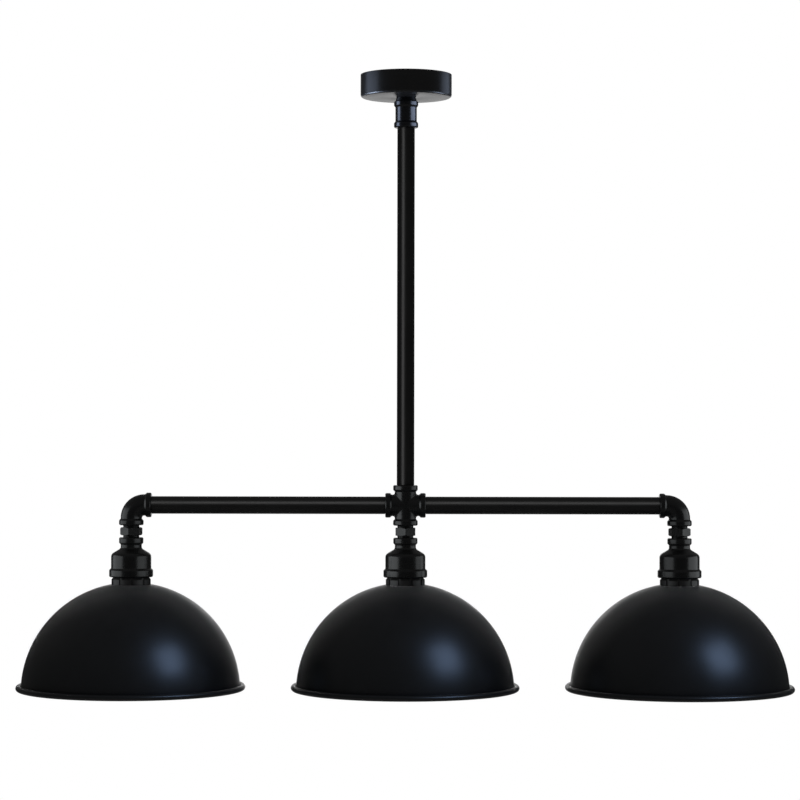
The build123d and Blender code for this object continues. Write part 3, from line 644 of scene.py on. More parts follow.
def start_material(name):
    """Empty material with its shader."""
    material = bpy.data.materials.new(name)
    material.use_nodes = True
    graph = Graph(material.node_tree)
    return material, graph, material.node_tree.nodes["Principled BSDF"]


def texture_surface(graph, shader, texture, rough, bump, depth):
    """Uneven gloss and fine bumps from a texture's tone and height."""
    graph.feed(shader.inputs["Roughness"], graph.spread(texture["Tone"], 0.0, 1.0, *rough))
    bumps = graph.add("ShaderNodeBump", {"Height": texture["Height"], "Strength": bump, "Distance": depth})
    graph.feed(shader.inputs["Normal"], bumps.outputs[0])


def coated(name, tone, scale, rough, bump, depth, wear, edge_width, dust):
    """Black paint or moulded plastic: grain, uneven gloss, rubbed edges and a little dust."""
    darkest = 0.75
    finish = bpy.context.scene.pipe_light_finish
    material, graph, shader = start_material(name)
    grain = use_group(graph, "Surface grain", grain_group, Scale=scale, Detail=3.0)
    base = graph.mix(grain["Tone"], opaque(tone, darkest), opaque(tone))
    edges = use_group(graph, "Edge wear", wear_group, Width=edge_width)["Mask"]
    base = graph.mix(graph.math("MULTIPLY", edges, wear), base, opaque(finish.bare_edge))
    settled = use_group(graph, "Settled dust", dust_group, Amount=dust)["Mask"]
    graph.feed(shader.inputs["Base Color"], graph.mix(settled, base, opaque(finish.dust)))
    texture_surface(graph, shader, grain, rough, bump, depth)
    return material


def metal(name, tone, stretch, rough, tarnish):
    """Bare or plated metal with drawn lines and a slight tarnish."""
    material, graph, shader = start_material(name)
    lines = use_group(graph, "Drawn lines", brush_group, Stretch=stretch)
    stains = use_group(graph, "Surface grain", grain_group, Scale=140.0, Detail=4.0)
    graph.feed(shader.inputs["Base Color"], graph.mix(stains["Tone"], opaque(tone, tarnish), opaque(tone)))
    shader.inputs["Metallic"].default_value = 1.0
    texture_surface(graph, shader, lines, rough, bump=0.25, depth=0.00002)
    return material


def pale(name, tone, scale, rough, depth, darkest):
    """Enamel, ceramic, pale plastic or opal glass with a faint mottle."""
    material, graph, shader = start_material(name)
    grain = use_group(graph, "Surface grain", grain_group, Scale=scale, Detail=3.0)
    graph.feed(shader.inputs["Base Color"], graph.mix(grain["Tone"], opaque(tone, darkest), opaque(tone)))
    texture_surface(graph, shader, grain, rough, bump=0.3, depth=depth)
    return material


PAINT = {"scale": 900.0, "rough": (0.30, 0.38), "bump": 0.25, "depth": 0.00008, "wear": 0.35,
         "edge_width": 0.0004, "dust": 0.03}
CANOPY_PAINT = {**PAINT, "rough": (0.27, 0.33), "bump": 0.15}
SHADE_PAINT = {"scale": 1100.0, "rough": (0.32, 0.38), "bump": 0.25, "depth": 0.00006, "wear": 0.25,
               "edge_width": 0.0004, "dust": 0.04}
CAST_IRON = {"scale": 620.0, "rough": (0.22, 0.30), "bump": 0.35, "depth": 0.00014, "wear": 0.5,
             "edge_width": 0.0007, "dust": 0.05}
MOULDED = {"scale": 1500.0, "rough": (0.42, 0.5), "bump": 0.3, "depth": 0.00005, "wear": 0.2,
           "edge_width": 0.0003, "dust": 0.04}
ZINC = {"stretch": (90.0, 1400.0, 1400.0), "rough": (0.27, 0.41), "tarnish": 0.82}
BRASS = {"stretch": (1400.0, 1400.0, 90.0), "rough": (0.23, 0.37), "tarnish": 0.8}
LAMP_METAL = {"stretch": (300.0, 300.0, 2500.0), "rough": (0.21, 0.35), "tarnish": 0.85}
ENAMEL = {"scale": 500.0, "rough": (0.25, 0.35), "depth": 0.00005, "darkest": 0.96}
BLOCK_PLASTIC = {"scale": 1600.0, "rough": (0.37, 0.47), "depth": 0.00004, "darkest": 0.95}
CERAMIC = {"scale": 1200.0, "rough": (0.55, 0.65), "depth": 0.0001, "darkest": 0.92}
OPAL = {"scale": 200.0, "rough": (0.15, 0.25), "depth": 0.00002, "darkest": 0.98}
SHEATH = {"scale": 1500.0, "rough": (0.40, 0.50), "depth": 0.00005, "darkest": 0.93}

# Each finish by the name of its colour: how it is made, its material's name and its values
FINISHES = {
    "pipe_paint": (coated, "satin_black_paint", PAINT),
    "canopy_paint": (coated, "satin_black_canopy_paint", CANOPY_PAINT),
    "shade_paint": (coated, "soft_black_shade_paint", SHADE_PAINT),
    "iron_paint": (coated, "painted_cast_iron", CAST_IRON),
    "plastic": (coated, "moulded_black_plastic", MOULDED),
    "shade_enamel": (pale, "white_shade_enamel", ENAMEL),
    "zinc": (metal, "zinc_plated_steel", ZINC),
    "brass": (metal, "rolled_brass", BRASS),
    "lamp_metal": (metal, "rolled_lamp_cap", LAMP_METAL),
    "block": (pale, "white_block_plastic", BLOCK_PLASTIC),
    "ceramic": (pale, "unglazed_ceramic", CERAMIC),
    "opal": (pale, "opal_lamp_glass", OPAL),
    "flex_sheath": (pale, "flex_sheath", SHEATH),
}
SLOT_FINISH = {
    "black_paint": "pipe_paint", "black_iron": "iron_paint", "zinc_steel": "zinc", "black_plastic": "plastic",
    "white_plastic": "block", "white_ceramic": "ceramic", "brass": "brass", "lamp_metal": "lamp_metal",
    "opal_glass": "opal", "flex_sheath": "flex_sheath",
}
made_finishes = {}


def finish_of(name):
    """A finish by name, made the first time it is asked for."""
    if name not in made_finishes:
        make, material_name, values = FINISHES[name]
        tone = getattr(bpy.context.scene.pipe_light_finish, name)
        made_finishes[name] = make(material_name, tone, **values)
    return made_finishes[name]


# Outlines of the turned pieces

def canopy_outline(sizes):
    """Thin cup, open at the ceiling, with a hole in its floor."""
    wall = sizes.canopy_wall
    hole = THREAD_RADIUS + wall / 3
    inner = CANOPY_RADIUS - wall
    floor = CANOPY_FLOOR + wall
    corner = sizes.canopy_corner
    edge = wall / 4
    points = [(hole, CANOPY_FLOOR), (CANOPY_RADIUS, CANOPY_FLOOR), (CANOPY_RADIUS, 0), (inner, 0),
              (inner, floor), (hole, floor)]
    return rounded(points, [edge, corner, edge, edge, corner - wall, edge])


def pipe_outline(sizes, low, high):
    """Pipe with a threaded spigot at both ends."""
    bore = PIPE_RADIUS - sizes.pipe_wall
    spigot = sizes.thread_grip
    chamfer = sizes.bead_round
    tip = THREAD_RADIUS - chamfer / 2
    return [(bore, low), (tip, low), (THREAD_RADIUS, low + chamfer), (THREAD_RADIUS, low + spigot),
            (PIPE_RADIUS, low + spigot + chamfer / 4), (PIPE_RADIUS, high - spigot - chamfer / 4),
            (THREAD_RADIUS, high - spigot), (THREAD_RADIUS, high - chamfer), (tip, high), (bore, high)]


def socket_outline(sizes):
    """Beaded socket with a collar under the canopy."""
    low, top = levels("drop_socket")
    body = sizes.socket_body / 2
    collar = sizes.socket_collar / 2
    bore = sizes.fitting_bore / 2
    upper = top - sizes.socket_collar_length
    lower = low + sizes.bead_length
    soft = sizes.bead_round / 2
    full = sizes.bead_round
    points = [(bore, top), (collar, top), (body, upper), (BEAD_RADIUS, upper - sizes.bead_slope / 2),
              (BEAD_RADIUS, upper - sizes.bead_length), (body, upper - sizes.bead_length - sizes.bead_slope),
              (body, lower + sizes.bead_slope), (BEAD_RADIUS, lower), (BEAD_RADIUS, low),
              (THREAD_RADIUS, low), (THREAD_RADIUS, low + sizes.thread_grip), (bore, low + sizes.thread_grip)]
    return rounded(points, [0, soft, soft, soft, full, full, full, full, full, 0, 0, 0])


def reducer_outline(sizes):
    """Reducing socket, narrow and beaded above, wide and beaded below."""
    low, top = levels("middle_reducer")
    large = half_width("middle_reducer")
    neck = sizes.reducer_neck / 2
    body = sizes.reducer_body / 2
    mouth = sizes.reducer_mouth / 2
    bore = sizes.fitting_bore / 2
    roof = low + sizes.reducer_mouth_depth
    soft = sizes.bead_round
    flare = sizes.reducer_flare
    shoulder = sizes.reducer_shoulder_round
    points = [(THREAD_RADIUS, top), (BEAD_RADIUS, top), (BEAD_RADIUS, top - sizes.reducer_small_bead),
              (neck, top - sizes.reducer_small_bead - sizes.bead_slope), (neck, top - sizes.reducer_neck_end),
              (body, top - sizes.reducer_shoulder), (body, low + sizes.reducer_large_bead + sizes.bead_slope),
              (large, low + sizes.reducer_large_bead), (large, low), (mouth, low), (mouth, roof),
              (bore, roof + flare), (bore, top - sizes.thread_grip), (THREAD_RADIUS, top - sizes.thread_grip)]
    return rounded(points, [0, soft, soft, soft, flare, shoulder, soft, soft, soft, soft / 2, 0, 0, 0, 0])


class Dome:
    """The curve of a shade: part of a ball between its seat and its rolled rim."""

    # Angle that the rolled edge leaves open at the crease, and the inner face above the rim
    curl_gap = 0.35
    inner_gap = 0.01

    def __init__(self, sizes):
        self.roll = sizes.rim_roll / 2
        self.bead = SHADE_RADIUS - self.roll
        self.rim = SHADE_RIM + self.roll
        self.wall = sizes.shade_wall
        seat = sizes.shade_seat / 2
        edge = self.bead - self.roll + self.wall
        depth = SHADE_SEAT - self.rim
        drop = (edge**2 + depth**2 - seat**2) / (2 * depth)
        self.ball = sqrt(seat**2 + drop**2)
        self.middle = (0.0, SHADE_SEAT - drop)
        self.seat_angle = atan2(drop, seat)
        self.crease = self.rim + sizes.rim_crease

    def outline(self, hole):
        """Closed section of the sheet: seat, dome, rolled rim and the inner face."""
        under = SHADE_SEAT - self.wall
        inner = self.ball - self.wall
        level = self.middle[1]
        low = asin((self.crease - level) / self.ball)
        outside = arc(self.middle, self.ball, self.seat_angle, low, DOME_STEPS)
        curl_start = pi - asin((self.crease - self.rim) / self.roll) - self.curl_gap
        curl = arc((self.bead, self.rim), self.roll, curl_start, -pi, 4 * ARC_STEPS)
        inner_low = asin((self.rim - level) / inner) + self.inner_gap
        inside = arc(self.middle, inner, inner_low, asin((under - level) / inner), DOME_STEPS)
        return [Vector((hole, SHADE_SEAT)), *outside, *curl, *inside, Vector((hole, under))]

    def is_inside(self, point):
        """True for a point of the white inner face."""
        reach = sqrt(point.x**2 + point.y**2)
        within = self.rim < point.z < SHADE_SEAT - self.wall / 2 and reach < self.bead - self.roll
        return within and sqrt(reach**2 + (point.z - self.middle[1])**2) < self.ball - self.wall / 2


def glass_outline(sizes):
    """Pear-shaped shell of a lamp's glass, closed at the bottom."""
    low, high = levels("middle_lamp_glass")
    radius = half_width("middle_lamp_glass")
    neck = half_width("middle_lamp_cap") - sizes.glass_inset
    neck_end = levels("middle_lamp_cap")[0] - sizes.glass_neck
    steps = 14

    def form(inset):
        ball = radius - inset
        middle = low + radius
        throat = neck - inset
        rise = neck_end - middle
        waist = (rise**2 / (ball - throat) - ball - throat) / 2
        touch = atan2(rise, throat + waist)
        hollow = arc((throat + waist, neck_end), waist, -pi, touch - pi, steps)
        return [Vector((throat, high)), *hollow, *arc((0.0, middle), ball, touch, -pi / 2, 2 * steps)]

    return form(0.0) + form(sizes.glass_wall)[::-1]


# Pieces

class PieceOperator(bpy.types.Operator):
    """Shared by the operators that build pieces."""

    bl_options = {"REGISTER", "UNDO"}

    @property
    def sizes(self):
        """Sizes from the sidebar."""
        return bpy.context.scene.pipe_light_sizes


class PIPELIGHT_OT_hardware(PieceOperator):
    """Give the solids that keep their shape the finish of their material."""

    bl_idname = "pipe_light.hardware"
    bl_label = "Finish Plain Hardware"

    def execute(self, context):
        """Put each solid's own finish in its material slot."""
        for part in frame["record"]["subparts"]:
            solid = frame["nodes"][part["node"]]
            solid.material_slots[0].material = finish_of(SLOT_FINISH[part["material_slot"]])
        return {"FINISHED"}


class PIPELIGHT_OT_canopy(PieceOperator):
    """Turn the canopy and the socket that holds it up."""

    bl_idname = "pipe_light.canopy"
    bl_label = "Canopy and Socket"

    def execute(self, context):
        """Build both pieces on the ceiling mount."""
        cup = turned(canopy_outline(self.sizes), finish_of("canopy_paint"), segments=160)
        piece("canopy_cup", cup, "ceiling_mount", ["canopy"])
        socket = turned(socket_outline(self.sizes), finish_of("iron_paint"))
        piece("drop_socket_casting", socket, "ceiling_mount", ["drop_socket"])
        return {"FINISHED"}


class PIPELIGHT_OT_pipes(PieceOperator):
    """Turn the drop pipe and the two arms."""

    bl_idname = "pipe_light.pipes"
    bl_label = "Pipes"

    def execute(self, context):
        """Build the three pipes, the arms laid along X."""
        drop = turned(pipe_outline(self.sizes, *levels("drop_pipe")), finish_of("pipe_paint"))
        piece("drop_tube", drop, "pipe_frame", ["drop_pipe"])
        for side in ELBOW_TURN:
            start, end = (corner.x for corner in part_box(f"{side}_arm_pipe"))
            arm = turned(pipe_outline(self.sizes, start, end), finish_of("pipe_paint"))
            arm.transform(Matrix.Translation((0, 0, ARM_LEVEL)) @ Matrix.Rotation(pi / 2, 4, "Y"))
            piece(f"{side}_arm_tube", arm, "pipe_frame", [f"{side}_arm_pipe"])
        return {"FINISHED"}


class PIPELIGHT_OT_fittings(PieceOperator):
    """Cast the cross and the two elbows, with their parting lines."""

    bl_idname = "pipe_light.fittings"
    bl_label = "Cast Fittings"

    def leg(self):
        """Outside of a leg from its face back to the bend, as (radius, distance from the middle)."""
        sizes = self.sizes
        body = sizes.fitting_body / 2
        behind = FITTING_REACH - sizes.bead_length
        soft = sizes.bead_round
        points = [(THREAD_RADIUS, FITTING_REACH), (BEAD_RADIUS, FITTING_REACH), (BEAD_RADIUS, behind),
                  (body, behind - sizes.bead_slope), (body, sizes.elbow_bend)]
        return rounded(points, [0, soft, soft, soft, 0])

    def angles(self):
        """Angles round a leg, closer together at the two parting lines."""
        even = [float(angle) for angle in range(LEG_STEP, 360, LEG_STEP) if angle % 180]
        close = [(start + step) % 360 for start in (0, 180) for step in PARTING_ANGLES]
        return sorted(even + close)

    def ring(self, place, outward, radius, ridge=0.0):
        """Points round a leg at one place, raised a little at the parting lines."""
        points = []
        for angle in self.angles():
            off = min(angle % 180, 180 - angle % 180)
            raised = radius + ridge * max(0.0, 1 - off / PARTING_END)
            turn = radians(angle)
            points.append(place + raised * (cos(turn) * outward + sin(turn) * Vector((0, 1, 0))))
        return points

    def elbow(self):
        """Elbow with one leg along +X and one down."""
        bend = self.sizes.elbow_bend
        body = self.sizes.fitting_body / 2
        bore = self.sizes.fitting_bore / 2
        height = self.sizes.parting_height
        along = Vector((1, 0, 0))
        up = Vector((0, 0, 1))
        middle = bend * (along - up)
        turns = [pi / 2 * step / BEND_STEPS for step in range(BEND_STEPS + 1)]
        ways = [Vector((-sin(turn), 0, cos(turn))) for turn in turns]
        leg = [(radius, away, height if radius > THREAD_RADIUS else 0.0) for radius, away in self.leg()]
        rings = [self.ring(along * away, up, radius, ridge) for radius, away, ridge in leg]
        rings += [self.ring(middle + bend * way, way, body, height) for way in ways[1:-1]]
        rings += [self.ring(-up * away, -along, radius, ridge) for radius, away, ridge in leg[::-1]]
        rings.append(self.ring(-up * bend, -along, THREAD_RADIUS))
        rings += [self.ring(middle + bend * way, way, bore) for way in ways[::-1]]
        rings.append(self.ring(along * bend, up, THREAD_RADIUS))
        return tidied(rings_mesh(rings, True))

    def cross(self):
        """Copy of the cross, cut and raised along the plane of its legs."""
        mesh = frame["nodes"]["cross_fitting"].data.copy()
        mesh.materials.clear()
        height = self.sizes.parting_height
        width = self.sizes.parting_width
        # How far inside the legs' radius a point still counts as an outer wall
        slack = 0.001
        inside = self.sizes.fitting_body / 2 - slack
        bm = bmesh.new()
        bm.from_mesh(mesh)
        bmesh.ops.remove_doubles(bm, verts=bm.verts, dist=WELD)
        for level in (-width, -width / 2, 0.0, width / 2, width):
            geometry = [*bm.verts, *bm.edges, *bm.faces]
            bmesh.ops.bisect_plane(bm, geom=geometry, plane_co=(0, level, 0), plane_no=(0, 1, 0), dist=WELD)
        bm.normal_update()
        for vertex in bm.verts:
            rise = vertex.co.z - ARM_LEVEL
            outer = min(abs(vertex.co.x), abs(rise)) > inside
            face = max(abs(vertex.co.x), abs(rise)) > FITTING_REACH - WELD
            if outer and not face and abs(vertex.co.y) < width:
                way = Vector((vertex.normal.x, 0, vertex.normal.z)).normalized()
                vertex.co += way * height * (1 - abs(vertex.co.y) / width)
        bm.to_mesh(mesh)
        bm.free()
        return mesh

    def execute(self, context):
        """Build the three castings."""
        iron = finish_of("iron_paint")
        cross = self.cross()
        cross.materials.append(iron)
        piece("cross_casting", cross, "pipe_frame", ["cross_fitting"])
        elbow = self.elbow()
        elbow.materials.append(iron)
        for side, turn in ELBOW_TURN.items():
            place = Matrix.Translation((AXIS_X[side], 0, ARM_LEVEL)) @ Matrix.Rotation(turn, 4, "Z")
            piece(f"{side}_elbow_casting", placed(elbow, place), HEAD_BODY[side],
                  [f"{side}_elbow"])
        return {"FINISHED"}


class PIPELIGHT_OT_nipples(PieceOperator):
    """Make the hex nipples with their bare threads."""

    bl_idname = "pipe_light.nipples"
    bl_label = "Hex Nipples"

    def hexagon(self, low, high, turn):
        """Hexagon with its corners chamfered, a corner at the front before turning."""
        sizes = self.sizes
        flat = sizes.hex_flats / 2
        corner = sizes.hex_flats / sqrt(3)
        edge = corner - sizes.hex_chamfer * sqrt(3)
        core = THREAD_RADIUS - sizes.thread_pitch
        rings = []
        for step in range(HEX_STEPS):
            angle = step * pi / (HEX_STEPS / 2)
            off = angle % (pi / 3) - pi / 6
            reach = flat / cos(off)
            cut = max(0.0, reach - edge) / sqrt(3)
            shoulder = min(reach, edge)
            way = angle + turn + pi / 2
            section = [(core, low), (shoulder, low), (reach, low + cut), (reach, high - cut),
                       (shoulder, high), (core, high)]
            rings.append([Vector((r * cos(way), r * sin(way), z)) for r, z in section])
        return tidied(rings_mesh(rings, True))

    def execute(self, context):
        """Build one nipple for each lamp, turned as the solid is."""
        sizes = self.sizes
        iron = finish_of("iron_paint")
        pitch = sizes.thread_pitch
        crest = THREAD_RADIUS + sizes.thread_taper
        root = crest - sizes.thread_depth
        bore = sizes.nipple_bore / 2
        low, high = levels("middle_hex_nipple")
        hex_low = (low + high) / 2 - sizes.hex_height / 2
        hex_high = (low + high) / 2 + sizes.hex_height / 2
        core = turned([(bore, low), (root, low), (root, high), (bore, high)], iron)
        turns = sizes.nipple_neck / pitch + 1
        coils = [thread(crest, pitch, turns, sizes.thread_depth, level, iron, sides=8)
                 for level in (hex_low - sizes.nipple_neck - pitch / 2, hex_high - pitch / 2)]
        for side, turn in LAMP_TURN.items():
            hexagon = self.hexagon(hex_low, hex_high, turn)
            hexagon.materials.append(iron)
            nipple = on_lamp(joined([core, *coils, hexagon]), side)
            piece(f"{side}_threaded_nipple", nipple, HEAD_BODY[side], [f"{side}_hex_nipple"],
                  smooth_angle=25.0)
        return {"FINISHED"}


class PIPELIGHT_OT_reducers(PieceOperator):
    """Turn the reducers over the shades."""

    bl_idname = "pipe_light.reducers"
    bl_label = "Reducers"

    def execute(self, context):
        """Build one reducer for each lamp."""
        reducer = turned(reducer_outline(self.sizes), finish_of("iron_paint"), segments=128)
        on_each_lamp("reducer_casting", reducer, HEAD_BODY, "reducer")
        return {"FINISHED"}


class PIPELIGHT_OT_shade_rings(PieceOperator):
    """Make the notched rings that clamp the shades."""

    bl_idname = "pipe_light.shade_rings"
    bl_label = "Shade Rings"

    def sector(self, height):
        """One land with half a notch on each side, standing on level 0."""
        sizes = self.sizes
        radius = half_width("middle_upper_shade_ring")
        bore = HOLDER_RADIUS + WELD
        top = sizes.ring_top / 2
        floor = radius - sizes.ring_notch_depth
        slope = sizes.ring_chamfer / (radius - top)

        def section(reach):
            return [(bore, 0.0), (reach, 0.0), (reach, height - (reach - top) * slope), (top, height),
                    (bore, height)]

        half = pi / sizes.ring_notches
        gap = sizes.ring_notch_width / 2 / floor
        steps = 6
        stops = [(-half, floor), (gap - half, floor)]
        stops += [(gap - half + (2 * half - 2 * gap) * step / steps, radius) for step in range(steps + 1)]
        stops += [(half - gap, floor), (half, floor)]
        rings = [[(r * cos(angle), r * sin(angle), z) for r, z in section(reach)] for angle, reach in stops]
        return rings_mesh(rings, False)

    def execute(self, context):
        """Build the ring above and the ring below each shade's seat."""
        low, high = levels("middle_upper_shade_ring")
        tree = shared_tree("Ring of sectors", repeat_tree)
        notches = self.sizes.ring_notches
        ring = tidied(grown(self.sector(high - low), tree, finish_of("plastic"), count=notches))
        for side, turn in LAMP_TURN.items():
            turning = Matrix.Rotation(turn + pi / notches, 4, "Z")
            under = levels(f"{side}_lower_shade_ring")[1]
            places = {
                "upper": Matrix.Translation((AXIS_X[side], 0, low)),
                "lower": Matrix.Translation((AXIS_X[side], 0, under)) @ Matrix.Rotation(pi, 4, "X"),
            }
            for which, place in places.items():
                piece(f"{side}_{which}_clamp_ring", placed(ring, place @ turning), HEAD_BODY[side],
                      [f"{side}_{which}_shade_ring"])
        return {"FINISHED"}


class PIPELIGHT_OT_shades(PieceOperator):
    """Spin the three shades, black outside and white inside."""

    bl_idname = "pipe_light.shades"
    bl_label = "Shades"

    def execute(self, context):
        """Build one shade for each lamp."""
        dome = Dome(self.sizes)
        outline = dome.outline(HOLDER_RADIUS + self.sizes.shade_hole_fit)
        shade = turned(outline, finish_of("shade_paint"), segments=200)
        shade.materials.append(finish_of("shade_enamel"))
        for face in shade.polygons:
            face.material_index = int(dome.is_inside(face.center))
        on_each_lamp("spun_shade", shade, HEAD_BODY, "shade")
        return {"FINISHED"}


class PIPELIGHT_OT_lampholders(PieceOperator):
    """Make the lampholders' threaded skirts."""

    bl_idname = "pipe_light.lampholders"
    bl_label = "Lampholders"

    def execute(self, context):
        """Build one skirt for each lamp, its thread bare below the lower ring."""
        sizes = self.sizes
        plastic = finish_of("plastic")
        low, high = levels("middle_holder_skirt")
        bore = sizes.holder_bore / 2
        pitch = sizes.holder_pitch
        depth = sizes.holder_depth
        root = HOLDER_RADIUS - depth
        lip = pitch / 2
        soft = lip / 3
        step = levels("middle_holder_insert")[0]
        wide = half_width("middle_holder_insert") + WELD
        points = [(bore, low), (HOLDER_RADIUS, low), (HOLDER_RADIUS, low + lip), (root, low + 2 * lip),
                  (root, high), (wide, high), (wide, step), (bore, step)]
        tube = turned(rounded(points, [soft, soft, soft, 0, 0, 0, 0, 0]), plastic)
        turns = (levels("middle_lower_shade_ring")[0] - low) / pitch
        coil = thread(HOLDER_RADIUS, pitch, turns, depth, low + 2 * lip, plastic, sides=6)
        on_each_lamp("threaded_skirt", joined([tube, coil]), HEAD_BODY, "holder_skirt")
        return {"FINISHED"}


class PIPELIGHT_OT_lamps(PieceOperator):
    """Make the screw-cap lamps with their opal glass."""

    bl_idname = "pipe_light.lamps"
    bl_label = "Lamps"

    def cap(self):
        """Screw cap: tip, cone, thread and plain skirt."""
        sizes = self.sizes
        low, high = levels("middle_lamp_cap")
        radius = half_width("middle_lamp_cap")
        root = radius - sizes.cap_depth
        inner = radius - sizes.cap_wall
        recess = low + sizes.cap_recess
        tip = sizes.cap_tip
        cone_top = high - sizes.cap_tip_height
        thread_top = cone_top - sizes.cap_cone
        thread_end = thread_top - sizes.cap_turns * sizes.cap_pitch
        points = [(0, high), (tip, high), (tip, cone_top), (root, thread_top), (root, thread_end),
                  (radius, thread_end - sizes.cap_depth / 2), (radius, low), (inner, low), (inner, recess),
                  (0, recess)]
        soft = sizes.cap_depth / 4
        rolled = finish_of("lamp_metal")
        shell = turned(rounded(points, [0, soft, 0, soft, 0, soft, 0, 0, 0, 0]), rolled)
        coil = thread(radius, sizes.cap_pitch, sizes.cap_turns - 1, sizes.cap_depth,
                      thread_end + sizes.cap_pitch / 2, rolled, sides=12)
        return joined([shell, coil])

    def execute(self, context):
        """Build one lamp on each lamp body."""
        on_each_lamp("screw_cap", self.cap(), LAMP_BODY, "lamp_cap")
        glass = turned(glass_outline(self.sizes), finish_of("opal"))
        on_each_lamp("opal_glass", glass, LAMP_BODY, "lamp_glass")
        return {"FINISHED"}


class PIPELIGHT_OT_flexes(PieceOperator):
    """Run the three flexes from the block over and down into the nipple."""

    bl_idname = "pipe_light.flexes"
    bl_label = "Canopy Flexes"

    def route(self, lane, angle):
        """Points of one flex: down in the nipple, over its top and into the block."""
        sizes = self.sizes
        x = sizes.flex_ring * cos(radians(angle))
        y = sizes.flex_ring * sin(radians(angle))
        across = lane * sizes.flex_spacing
        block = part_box("distribution_block")[0]
        low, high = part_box("canopy_flexes")
        level = block.z + sizes.flex_entry
        over = levels("canopy_nipple")[1] + sizes.flex_rise
        return [(x, y, low.z), (x, y, over), (across, block.y - sizes.flex_entry, level),
                (across, high.y, level)]

    def execute(self, context):
        """Build one smooth flex for each lamp, as one piece."""
        curve = bpy.data.curves.new("canopy_flex_routes", "CURVE")
        curve.dimensions = "3D"
        curve.bevel_depth = self.sizes.flex_diameter / 2
        curve.bevel_resolution = 6
        curve.use_fill_caps = True
        curve.resolution_u = 16
        for lane, angle in FLEX_LANES:
            points = self.route(lane, angle)
            spline = curve.splines.new("NURBS")
            spline.points.add(len(points) - 1)
            for point, place in zip(spline.points, points):
                point.co = (*place, 1.0)
            spline.order_u = 3
            spline.use_endpoint_u = True
        mesh = taken(new_object("worker", curve))
        mesh.materials.clear()
        mesh.materials.append(finish_of("flex_sheath"))
        piece("canopy_flex_runs", tidied(mesh), "ceiling_mount", ["canopy_flexes"])
        return {"FINISHED"}


class SoftLight(NamedTuple):
    """A soft light: the pieces it lights, its direction seen from them, its size, power and tint."""

    name: str
    receivers: str
    azimuth: float
    elevation: float
    distance: float
    level: float
    size: tuple
    power: float
    tint: tuple


LIT_TOGETHER = {
    "shades": ("spun_shade",),
    "drop": ("drop_tube",),
    "arms": ("arm_tube",),
    "left_fittings": ("left_elbow_casting", "left_reducer", "left_threaded_nipple", "left_upper_clamp_ring"),
    "middle_fittings": ("cross_casting", "middle_reducer", "middle_threaded_nipple",
                        "middle_upper_clamp_ring"),
    "right_fittings": ("right_elbow_casting", "right_reducer", "right_threaded_nipple",
                       "right_upper_clamp_ring"),
    "canopy": ("canopy_cup",),
    "socket": ("drop_socket_casting",),
}
WHITE = (1.0, 1.0, 1.0)
PALE = (0.93, 0.98, 1.0)
COOL = (0.64, 0.76, 1.0)
SKY = (0.60, 0.72, 1.0)
BLUE = (0.44, 0.63, 1.0)
LIGHTS = (
    SoftLight("shade_key", "shades", 51.0, 34.7, 5.0, -0.75, (2.2, 2.2), 85.0, BLUE),
    SoftLight("shade_back", "shades", 180.0, 30.0, 3.0, -0.67, (5.0, 3.6), 7.0, WHITE),
    SoftLight("drop_strip", "drop", -36.0, 0.0, 3.0, -0.3, (1.5, 2.6), 20.0, WHITE),
    SoftLight("arm_strip", "arms", 0.0, 34.0, 3.0, -0.566, (3.6, 1.3), 23.0, WHITE),
    SoftLight("left_outer_wall", "left_fittings", -84.0, 4.0, 3.0, -0.6, (4.0, 2.0), 30.0, PALE),
    SoftLight("left_inner_wall", "left_fittings", 70.0, 4.0, 3.0, -0.6, (4.0, 2.0), 22.0, PALE),
    SoftLight("middle_left_wall", "middle_fittings", -76.0, 4.0, 3.0, -0.6, (4.0, 2.0), 40.0, PALE),
    SoftLight("middle_right_wall", "middle_fittings", 92.0, 4.0, 3.0, -0.6, (3.4, 2.0), 19.0, PALE),
    SoftLight("right_inner_wall", "right_fittings", -70.0, 4.0, 3.0, -0.6, (4.0, 2.0), 22.0, PALE),
    SoftLight("right_outer_wall", "right_fittings", 84.0, 4.0, 3.0, -0.6, (4.0, 2.0), 30.0, PALE),
    SoftLight("left_canopy_wall", "canopy", -97.0, 0.0, 3.0, -0.02, (2.4, 1.6), 18.0, COOL),
    SoftLight("right_canopy_wall", "canopy", 118.0, 0.0, 3.0, -0.02, (2.0, 1.6), 9.5, COOL),
    SoftLight("left_canopy_edge", "canopy", -108.0, -38.0, 0.6, -0.02, (0.4, 0.2), 3.5, COOL),
    SoftLight("right_canopy_edge", "canopy", 108.0, -38.0, 0.6, -0.02, (0.4, 0.2), 1.2, COOL),
    SoftLight("left_socket_strip", "socket", -84.0, 0.0, 3.0, -0.05, (1.5, 1.6), 48.0, SKY),
    SoftLight("right_socket_strip", "socket", 82.0, 0.0, 3.0, -0.05, (3.4, 1.6), 85.0, SKY),
)


